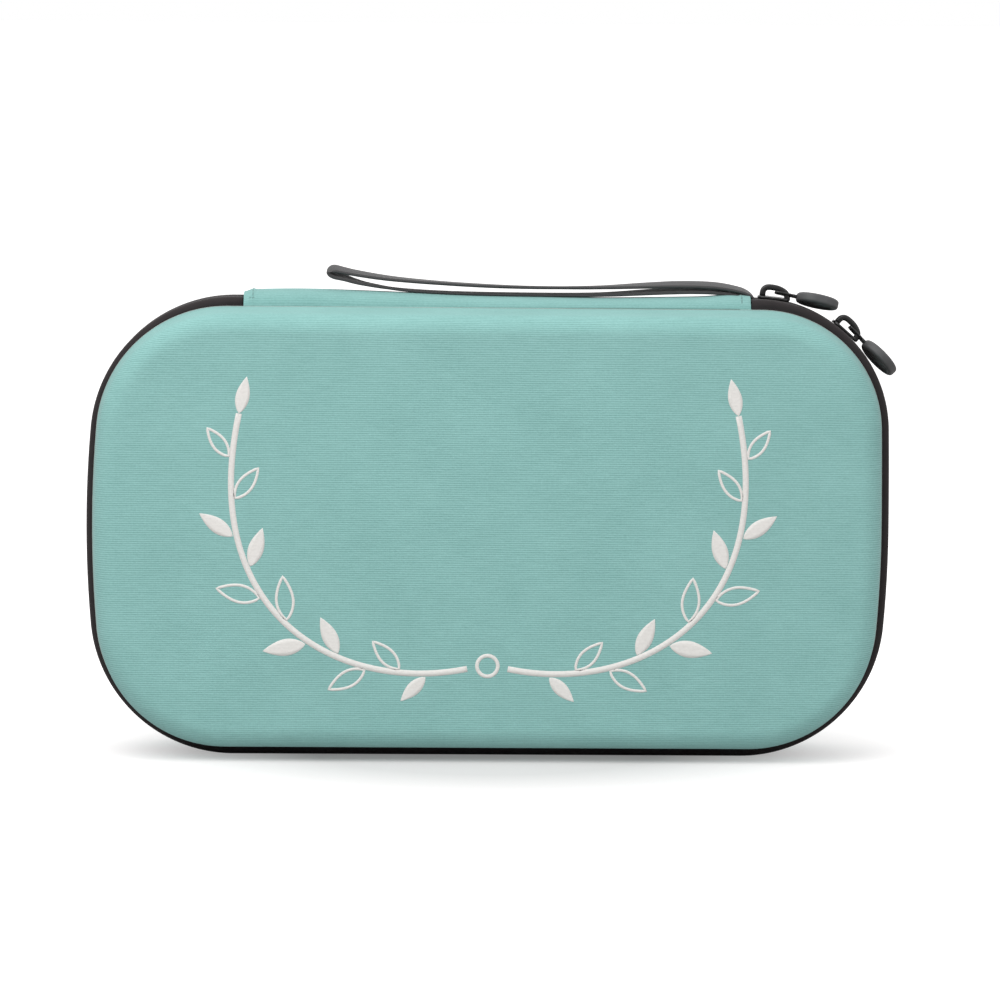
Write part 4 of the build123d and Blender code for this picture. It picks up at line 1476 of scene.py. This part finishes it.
def make_spine(trim):
    """Spine cover and liner in two halves each, between a shell and the spine."""
    seams = (trim.spine_half_width, SPINE_SEAM_Z), (LINER_HALF_WIDTH, SPINE_LINER_Z)
    for half, side in SIDES.items():
        for node, look, slot, seam, layer, thickness in (
            # The spine's cover uses the cover's weave painted darker: painted shade.
            ("spine_cover", "spine weave", "teal_fabric", seams[0], 0.0, COVER_THICKNESS),
            ("spine_liner", "velvet", "lining_fabric", seams[1], LINER_LAYER, LINER_THICKNESS),
        ):
            hem = node == "spine_cover"
            surface = spine_surface(trim, side, *seam, layer, thickness, hem)
            piece = surface.piece(f"{node}_{half}_half", finish(look))
            sharpen(piece, 50)
            bend_with_spine(piece, half, slot)
            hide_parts(node)
        make_spine_stitches(trim, half, side)
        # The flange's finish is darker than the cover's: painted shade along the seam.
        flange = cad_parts[f"{half}_spine_flange"]
        flange.data.materials.clear()
        flange.data.materials.append(finish("flange"))


def make_spine_stitches(trim, half, side):
    """Stitches across each hem of the spine, and a short dense bar of them at its left end."""
    thread = Surface()
    rows = [
        (SPINE_LEFT + trim.hem_width - LEFT_HEM_ROW, HEM_PITCH),
        (SPINE_RIGHT - trim.hem_width + RIGHT_HEM_ROW, HEM_PITCH),
    ]
    rows += [(SPINE_LEFT + place, BAR_PITCH) for place in BAR_ROWS]
    shares = spine_shares(60)
    for x, pitch in rows:
        seam = trim.spine_half_width, SPINE_SEAM_Z
        depth, height = spine_half(trim, np.array([x]), shares, *seam, 0.0)
        height = height[0] + SPINE_THREAD_LIFT
        section = np.stack([np.full(60, x), side * depth[0], height], axis=-1)
        reach = run_lengths(section)
        end = reach[-1] * (1 if pitch == HEM_PITCH else BAR_SHARE)
        spots = np.arange(1.5 * MM, end, pitch)
        slopes = np.gradient(section, axis=0)
        points, along = (
            np.stack([np.interp(spots, reach, values[:, axis]) for axis in range(3)], axis=-1)
            for values in (section, slopes)
        )
        along = unit(along)
        lengthways = repeated([1.0, 0.0, 0.0], spots)
        up = np.cross(along, lengthways)
        up *= np.sign(up[:, 2:3] + 0.4 * side * up[:, 1:2] + 1e-9)
        if pitch == HEM_PITCH:
            stitches(thread, points, along, up, 0.9 * pitch, 0.38 * MM)
        else:
            stitches(thread, points, lengthways, up, 0.9 * MM, 0.32 * MM)
    piece = thread.piece(f"spine_{half}_stitches", finish("teal thread"))
    bend_with_spine(piece, half, "teal_fabric")


# ---------------------------------------------------------------- inside
SEAM_THREAD = 0.45 * MM  # width of a stitch's thread
SEAM_END = 2 * MM  # from a piece's end to its first stitch
BINDING_MIDDLE, BINDING_HALF = 0.36 * MM, 0.34 * MM  # of its thickness, off the lining
BINDING_SEAM = 0.9 * MM  # from its edges to its rows of stitches
BINDING_THREAD, BINDING_THREAD_MIDDLE = 0.42 * MM, 0.68 * MM  # its width, and off the lining
POCKET_SLACK = 0.9 * MM  # how far the net gives way in its middle
HEM_HALF = 0.75 * MM  # half the hem's thickness
BAND_SAG = 1.2 * MM
BAND_SEAM = 1.6 * MM  # from the elastic band's lower edge to its row of stitches


def lined(shape, depth):
    """Inset of the lined wall's inner face at a depth."""
    layers = shape.cover + shape.core + bpy.context.scene.case_zip.tape
    return wall_inset(shape, layers, depth)


def make_bindings(shape, trim):
    """Binding tape over the seam between zip tape and lining, with stitches along both edges."""
    route = band_route(shape)
    distances = route.lap()
    low, high = whole(BINDING_LOW.y), whole(BINDING_HIGH.y)
    width = high - low
    turn = full_turn(20)
    depths = (low + high) / 2 + width / 2 * squared(np.cos(turn), 0.45)
    insets = lined(shape, depths) + BINDING_MIDDLE + BINDING_HALF * squared(np.sin(turn), 0.6)
    places = pairs(np.append(distances, route.length), np.linspace(0, 2 * width, 21))
    spots = np.arange(0.5, int(route.length / trim.stitch_pitch)) * trim.stitch_pitch
    outwards, along = route.ways(spots)
    for half, side in SIDES.items():
        tape = tube(in_band(route, distances, depths, insets, side), places, ring=True)
        names = half, "binding_fabric", f"{half}_binding"
        dress(tape, f"{half}_binding_tape", "binding", *names)
        thread = Surface()
        for depth in (low + BINDING_SEAM, high - BINDING_SEAM):
            inset = lined(shape, depth) + BINDING_THREAD_MIDDLE
            points = line_in_band(route, spots, depth, inset, side)
            stitches(thread, points, along, -outwards, trim.stitch, BINDING_THREAD)
        dress(thread, f"{half}_binding_stitches", "black thread", half, "binding_fabric")


def pocket_depth(x, z):
    """Depth of the pocket's middle surface: flat at its seams and slack towards its middle."""
    across = np.clip(1 - (x / (0.46 * CASE_LENGTH)) ** 2, 0, 1)
    upwards = np.clip(np.sin(math.pi * np.clip(z / POCKET_TOP, 0, 1)), 0, 1)
    return POCKET_DEPTH - POCKET_SLACK * across * upwards


def pocket_stretch(route, inset, top):
    """Distances along the outline between which a line at an inset lies below top."""
    distances = np.linspace(0, route.length, 4001)
    points, normals = route.at(distances)
    low = points[:, 1] - inset * normals[:, 1] <= top
    return distances[low][0], distances[low][-1]


def make_pocket(shape, trim):
    """Pocket of the lid: honeycomb net, the hem round it and the elastic band along its top."""
    make_net(shape, trim)
    make_hem(shape, trim)
    make_pocket_band(trim)


def net_cells(shape, trim):
    """Middles of the net's cells by row and column, and the corners of the net's box."""
    route = band_route(shape)
    outline, normals = route.at(np.linspace(0, route.length, 1200, endpoint=False))
    outline = outline - (lined(shape, POCKET_DEPTH) + 0.35 * trim.hem) * normals
    low, high = outline.min(axis=0), outline.max(axis=0)
    row_step = trim.net_pitch * math.sqrt(3) / 2
    cells = {}
    for row in range(int((POCKET_TOP - low[1]) / row_step) + 2):
        z = low[1] + row * row_step
        if z > POCKET_TOP + 0.8 * row_step:
            continue
        for column in range(int((high[0] - low[0]) / trim.net_pitch) + 2):
            x = low[0] + (column + 0.5 * (row % 2)) * trim.net_pitch
            nearest = np.argmin(np.hypot(outline[:, 0] - x, outline[:, 1] - z))
            if ((x, z) - outline[nearest]) @ normals[nearest] < 0:
                cells[row, column] = (x, z)
    return cells, low, high


def make_net(shape, trim):
    """Net with six-sided holes: each cell is a ring between two hexagons, joined to its neighbours.

    Cells stand in rows 0.866 of a pitch apart, every other row half a pitch along.
    """
    cells, low, high = net_cells(shape, trim)
    turns = np.radians(np.arange(6) * 60 + 30)
    corners = np.c_[np.cos(turns), np.sin(turns)]
    outer = corners * trim.net_pitch / math.sqrt(3)
    inner = corners * (trim.net_pitch - trim.net_yarn) / math.sqrt(3)
    net = Surface()
    thick = trim.net_thickness / 2
    for (row, column), middle in cells.items():
        shift = row % 2
        around = [
            (row + 1, column + shift), (row + 1, column + shift - 1), (row, column - 1),
            (row - 1, column + shift - 1), (row - 1, column + shift), (row, column + 1),
        ]
        x, z = (np.concatenate([outer, inner, inner, outer]) + middle).T
        depth = pocket_depth(x, z) + np.repeat([-thick, -thick, thick, thick], 6)
        points = np.c_[x, -depth, z]
        faces = []
        for corner in range(6):
            after = (corner + 1) % 6
            for start, end in ((0, 6), (6, 12), (12, 18)):
                faces.append((start + corner, start + after, end + after, end + corner))
            if around[corner] not in cells:
                faces.append((18 + corner, 18 + after, after, corner))
        net.add(points, np.array(faces), points[faces][..., [0, 2]])
    names = "lid", "pocket_mesh", "lid_mesh_pocket"
    piece = dress(net, "lid_pocket_net", "net yarn", *names, smooth=False)


def make_hem(shape, trim):
    """Hem round the pocket's sides and bottom, with two rows of stitches along it."""
    route = band_route(shape)
    inset = lined(shape, POCKET_DEPTH)
    first, last = pocket_stretch(route, inset + trim.hem / 2, POCKET_TOP - 0.5 * MM)
    distances = route.stations(first, last, 5 * MM, math.radians(3))
    turn = full_turn(20)
    insets = inset + 0.1 * MM + trim.hem / 2 * (1 + squared(np.cos(turn), 0.4))
    depths = POCKET_DEPTH + HEM_HALF * squared(np.sin(turn), 0.6)
    places = pairs(distances, np.linspace(0, 2 * trim.hem, 21))
    hem = tube(in_band(route, distances, depths, insets, -1), places)
    dress(hem, "lid_pocket_hem", "binding", "lid", "elastic_tape")
    thread = Surface()
    spots = np.arange(first + SEAM_END, last - SEAM_END, trim.stitch_pitch)
    _, along = route.ways(spots)
    up = repeated([0.0, 1.0, 0.0], spots)
    for share in (0.3, 0.7):
        row = POCKET_DEPTH - HEM_HALF, inset + share * trim.hem
        points = line_in_band(route, spots, *row, -1)
        stitches(thread, points, along, up, trim.stitch, SEAM_THREAD)
    dress(thread, "lid_pocket_hem_stitches", "black thread", "lid", "elastic_tape")


def make_pocket_band(trim):
    """Elastic band along the pocket's top: a soft bar that is a little slack in the middle."""
    low, high = POCKET_BAND_LOW, POCKET_BAND_HIGH

    def sag(x):
        return -BAND_SAG * (1 - (x / high.x) ** 2)

    x = np.linspace(low.x + 0.2 * MM, high.x - 0.2 * MM, 61)
    height = (low.z + high.z) / 2 + sag(x)
    line = np.stack([x, np.full(len(x), (low.y + high.y) / 2), height], axis=-1)
    across, up = repeated([0.0, 0.0, 1.0], x), repeated([0.0, 1.0, 0.0], x)
    band = bar(carried(line, across, up, flat_bar(high.z - low.z, high.y - low.y, 0.6 * MM)))
    dress(band, "lid_elastic_band", "elastic", "lid", "elastic_tape", "lid_pocket_band")
    thread = Surface()
    spots = np.arange(x[0] + SEAM_END, x[-1] - SEAM_END, trim.stitch_pitch)
    height = low.z + BAND_SEAM + sag(spots)
    points = np.stack([spots, np.full(len(spots), high.y), height], axis=-1)
    along, up = repeated([1.0, 0.0, 0.0], spots), repeated([0.0, 1.0, 0.0], spots)
    stitches(thread, points, along, up, trim.stitch, SEAM_THREAD)
    dress(thread, "lid_elastic_band_stitches", "black thread", "lid", "elastic_tape")


STRAP_FOOT = 9 * MM  # length of a tube strap's sewn end
STRAP_RAMP = 7 * MM  # from there to where the strap lies over the tubing
STRAP_THICKNESS = 1.2 * MM


def make_tube_straps(trim):
    """Two stitched webbing halves in the base, closed by a hook patch on a loop patch."""
    make_tube_strap(trim, "lower", LOWER_STRAP_LOW, LOWER_STRAP_HIGH, 1)
    make_tube_strap(trim, "upper", UPPER_STRAP_LOW, UPPER_STRAP_HIGH, -1)
    for node in ("loop", "hook"):
        name = f"tube_strap_{node}_patch"
        low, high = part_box(name)
        patch = Surface()
        outline = rounded_rectangle(high.x - low.x, high.z - low.z, 1.5 * MM)
        plane = (np.array((low + high) / 2), (1, 0, 0), (0, 0, 1), (0, -1, 0))
        pillow(patch, outline, 0.25 * MM, (high.y - low.y) / 2, plane)
        dress(patch, f"{name}_pile", f"{node} pile", "base", "hook_tape", name)


def make_tube_strap(trim, name, low, high, way):
    """One half of the tube strap, from its sewn end up or down to its free end."""
    thick = STRAP_THICKNESS
    foot_y, run_y = high.y - thick / 2, low.y + thick / 2
    start, end = (low.z, high.z) if way == 1 else (high.z, low.z)
    foot = start + way * STRAP_FOOT
    corners = [(foot_y, start), (foot_y, foot), (run_y, foot + way * STRAP_RAMP), (run_y, end)]
    line = arc_line(corners, 0.3, 6)
    path = np.c_[np.zeros(len(line)), line]
    runs = [np.linspace(a, b, 4)[:-1] for a, b in zip(path, path[1:])]
    path = np.concatenate(runs + [path[-1:]])
    across = repeated([1.0, 0.0, 0.0], path)
    up = np.cross(tangents_of(path), across)
    strap = bar(carried(path, across, up, flat_bar(high.x - low.x, thick, 0.45 * MM)))
    node = f"tube_strap_{name}"
    dress(strap, f"{node}_webbing", "elastic", "base", "elastic_tape", node)
    thread = Surface()
    across = low.x + SEAM_END, high.x - SEAM_END
    upwards = sorted((start + way * MM, foot - way * MM))
    box_stitches(thread, trim, across, upwards, high.y - thick - 0.02 * MM)
    dress(thread, f"{node}_stitches", "black thread", "base", "elastic_tape")


def box_stitches(surface, trim, across, upwards, y):
    """A box of stitches with a cross in it, on a strap's sewn end."""
    (left, right), (low, high) = across, upwards
    runs = [
        ((left, low), (right, low)), ((right, low), (right, high)), ((right, high), (left, high)),
        ((left, high), (left, low)), ((left, low), (right, high)), ((left, high), (right, low)),
    ]
    for start, end in np.array(runs):
        span = np.linalg.norm(end - start)
        count = max(2, round(span / (0.8 * trim.stitch_pitch)))
        spots = start + np.outer((np.arange(count) + 0.5) / count, end - start)
        points = np.c_[spots[:, 0], np.full(count, y), spots[:, 1]]
        way = (end - start) / span
        along, up = repeated([way[0], 0.0, way[1]], points), repeated([0.0, -1.0, 0.0], points)
        stitches(surface, points, along, up, 0.72 * span / count, SEAM_THREAD)


# ---------------------------------------------------------------- stage
VIEW_WIDTH = 0.3501  # width of the view at the case's middle plane
VIEW_MIDDLE = (0.00428, 0.0, 0.08887)
VIEW_DISTANCE = 2.0
VIEW_ELEVATION = 5.0
VIEW_AZIMUTH = -0.5
VIEW_ROLL = 0.35  # the case's right side hangs a little low
SENSOR = 36.0
LAMPS = (  # name, place, width and power
    ("key", (-0.32, -0.48, 0.78), 0.9, 5.5),
    ("fill", (0.85, -0.6, 0.5), 0.9, 1.5),
    ("top", (0.0, 0.1, 1.1), 1.2, 1.7),
)
FLOOR_HALF = 60.0
FLOOR_GLOW = 0.06, 0.2, 0.2, 0.95  # grows from one distance to another, between two strengths


def make_stage():
    """Camera, pale floor, white surroundings and soft lights."""
    scene = bpy.context.scene
    scene.view_settings.view_transform = "Standard"
    azimuth, elevation = math.radians(VIEW_AZIMUTH), math.radians(VIEW_ELEVATION)
    roll = math.radians(VIEW_ROLL)
    data = bpy.data.cameras.new("camera")
    data.sensor_width = SENSOR
    data.lens = SENSOR * VIEW_DISTANCE / VIEW_WIDTH
    data.clip_start = 0.05
    data.clip_end = 200
    camera = bpy.data.objects.new("camera", data)
    scene.collection.objects.link(camera)
    out = Vector(
        (
            math.sin(azimuth) * math.cos(elevation),
            -math.cos(azimuth) * math.cos(elevation),
            math.sin(elevation),
        )
    )
    level = Vector((math.cos(azimuth), math.sin(azimuth), 0))
    up = out.cross(level)
    right = level * math.cos(roll) + up * math.sin(roll)
    up = out.cross(right)
    turned = Matrix((right, up, out)).transposed().to_4x4()
    camera.matrix_world = Matrix.Translation(Vector(VIEW_MIDDLE) + out * VIEW_DISTANCE) @ turned
    scene.camera = camera
    make_floor()
    make_world(scene)
    for lamp in LAMPS:
        make_light(*lamp)


def make_light(name, place, width, power):
    """A square soft light that faces the case."""
    data = bpy.data.lights.new(name, "AREA")
    data.size = width
    data.energy = power
    light = bpy.data.objects.new(name, data)
    light.location = place
    light.rotation_euler = (Vector(place) - Vector(VIEW_MIDDLE)).to_track_quat("Z", "Y").to_euler()
    bpy.context.scene.collection.objects.link(light)


def make_floor():
    """Wide pale floor that shows whiter to the camera far off, and keeps the case's shadow."""
    mesh = bpy.data.meshes.new("floor")
    signs = (-1, -1), (1, -1), (1, 1), (-1, 1)
    mesh.from_pydata([(x * FLOOR_HALF, y * FLOOR_HALF, 0) for x, y in signs], [], [(0, 1, 2, 3)])
    floor = bpy.data.objects.new("floor", mesh)
    bpy.context.scene.collection.objects.link(floor)
    pale = Finish("pale floor", roughness=0.9, colour=(0.63, 0.6, 0.6), specular=0.05)
    tree = pale.tree
    place = pale.node("ShaderNodeTexCoord").outputs["Object"]
    far = pale.node("ShaderNodeVectorMath", (place,), operation="LENGTH").outputs["Value"]
    strength = pale.ranged(far, *FLOOR_GLOW)
    camera_ray = pale.node("ShaderNodeLightPath").outputs["Is Camera Ray"]
    seen = pale.math("MULTIPLY", strength, camera_ray)
    glow = tree.nodes.new("ShaderNodeEmission")
    tree.links.new(seen, glow.inputs["Strength"])
    total = tree.nodes.new("ShaderNodeAddShader")
    tree.links.new(pale.shader.outputs[0], total.inputs[0])
    tree.links.new(glow.outputs[0], total.inputs[1])
    tree.links.new(total.outputs[0], tree.nodes["Material Output"].inputs["Surface"])
    mesh.materials.append(pale.material)


def make_world(scene):
    """Even white surroundings: soft light on the case, pure white to the camera and in gloss."""
    world = bpy.data.worlds.new("white surroundings")
    scene.world = world
    world.use_nodes = True
    tree = world.node_tree
    plain, white = tree.nodes["Background"], tree.nodes.new("ShaderNodeBackground")
    for background, strength in ((plain, 0.5), (white, 1.0)):
        background.inputs["Color"].default_value = (1, 1, 1, 1)
        background.inputs["Strength"].default_value = strength
    path = tree.nodes.new("ShaderNodeLightPath")
    seen = path.outputs["Is Camera Ray"]
    for ray in ("Is Glossy Ray", "Is Transmission Ray"):
        either = tree.nodes.new("ShaderNodeMath")
        either.operation = "MAXIMUM"
        tree.links.new(seen, either.inputs[0])
        tree.links.new(path.outputs[ray], either.inputs[1])
        seen = either.outputs[0]
    mix = tree.nodes.new("ShaderNodeMixShader")
    tree.links.new(seen, mix.inputs[0])
    tree.links.new(plain.outputs[0], mix.inputs[1])
    tree.links.new(white.outputs[0], mix.inputs[2])
    tree.links.new(mix.outputs[0], tree.nodes["World Output"].inputs["Surface"])


# ---------------------------------------------------------------- operators
class CASE_OT_stage(bpy.types.Operator):
    """Make the camera, the floor and the lights."""

    bl_idname = "case.stage"
    bl_label = "Stage"

    def execute(self, context):
        make_stage()
        return {"FINISHED"}


class CASE_OT_wrist_strap(bpy.types.Operator):
    """Make the wrist strap."""

    bl_idname = "case.wrist_strap"
    bl_label = "Wrist strap"

    def execute(self, context):
        make_wrist_strap(context.scene.case_trim)
        return {"FINISHED"}


class CASE_OT_shells(bpy.types.Operator):
    """Make the covers, boards and linings of both shells."""

    bl_idname = "case.shells"
    bl_label = "Shells"

    def execute(self, context):
        make_shells(context.scene.case_shape)
        return {"FINISHED"}


class CASE_OT_print(bpy.types.Operator):
    """Make the printed ornament."""

    bl_idname = "case.print"
    bl_label = "Print"

    def execute(self, context):
        make_print(context.scene.case_shape)
        return {"FINISHED"}


class CASE_OT_zip(bpy.types.Operator):
    """Make the zip tapes and coils."""

    bl_idname = "case.zip"
    bl_label = "Zip"

    def execute(self, context):
        make_zip(context.scene.case_shape, context.scene.case_zip)
        return {"FINISHED"}


class CASE_OT_sliders(bpy.types.Operator):
    """Make the sliders and their pulls."""

    bl_idname = "case.sliders"
    bl_label = "Sliders and pulls"

    def execute(self, context):
        make_sliders(context.scene.case_shape, context.scene.case_zip)
        return {"FINISHED"}


class CASE_OT_spine(bpy.types.Operator):
    """Make the spine."""

    bl_idname = "case.spine"
    bl_label = "Spine"

    def execute(self, context):
        make_spine(context.scene.case_trim)
        return {"FINISHED"}


class CASE_OT_bindings(bpy.types.Operator):
    """Make the binding tapes inside both shells."""

    bl_idname = "case.bindings"
    bl_label = "Bindings"

    def execute(self, context):
        make_bindings(context.scene.case_shape, context.scene.case_trim)
        return {"FINISHED"}


class CASE_OT_pocket(bpy.types.Operator):
    """Make the lid's net pocket."""

    bl_idname = "case.pocket"
    bl_label = "Pocket"

    def execute(self, context):
        make_pocket(context.scene.case_shape, context.scene.case_trim)
        return {"FINISHED"}


class CASE_OT_tube_straps(bpy.types.Operator):
    """Make the base's tube straps."""

    bl_idname = "case.tube_straps"
    bl_label = "Tube straps"

    def execute(self, context):
        make_tube_straps(context.scene.case_trim)
        return {"FINISHED"}


class CASE_PT_panel(bpy.types.Panel):
    """Lists the makers of the case's pieces."""

    bl_idname = "CASE_PT_panel"
    bl_label = "Zipped case"
    bl_space_type = "VIEW_3D"
    bl_region_type = "UI"
    bl_category = "Case"

    def draw(self, context):
        for maker in MAKERS:
            self.layout.operator(maker.bl_idname)


SETTINGS = {
    "case_shape": CaseShape,
    "case_zip": CaseZip,
    "case_trim": CaseTrim,
    "case_colours": CaseColours,
}
MAKERS = (
    CASE_OT_stage,
    CASE_OT_wrist_strap,
    CASE_OT_shells,
    CASE_OT_print,
    CASE_OT_zip,
    CASE_OT_sliders,
    CASE_OT_spine,
    CASE_OT_bindings,
    CASE_OT_pocket,
    CASE_OT_tube_straps,
)


def register():
    """Register the settings, the makers and the panel."""
    for name, group in SETTINGS.items():
        bpy.utils.register_class(group)
        setattr(bpy.types.Scene, name, bpy.props.PointerProperty(type=group))
    for maker in MAKERS:
        bpy.utils.register_class(maker)
    bpy.utils.register_class(CASE_PT_panel)


def unregister():
    """Take the panel, the makers and the settings away again."""
    bpy.utils.unregister_class(CASE_PT_panel)
    for maker in reversed(MAKERS):
        bpy.utils.unregister_class(maker)
    for name, group in SETTINGS.items():
        delattr(bpy.types.Scene, name)
        bpy.utils.unregister_class(group)


def main():
    """Build the case in order."""
    register()
    for maker in MAKERS:
        group, name = maker.bl_idname.split(".")
        getattr(getattr(bpy.ops, group), name)()


if __name__ == "__main__":
    main()
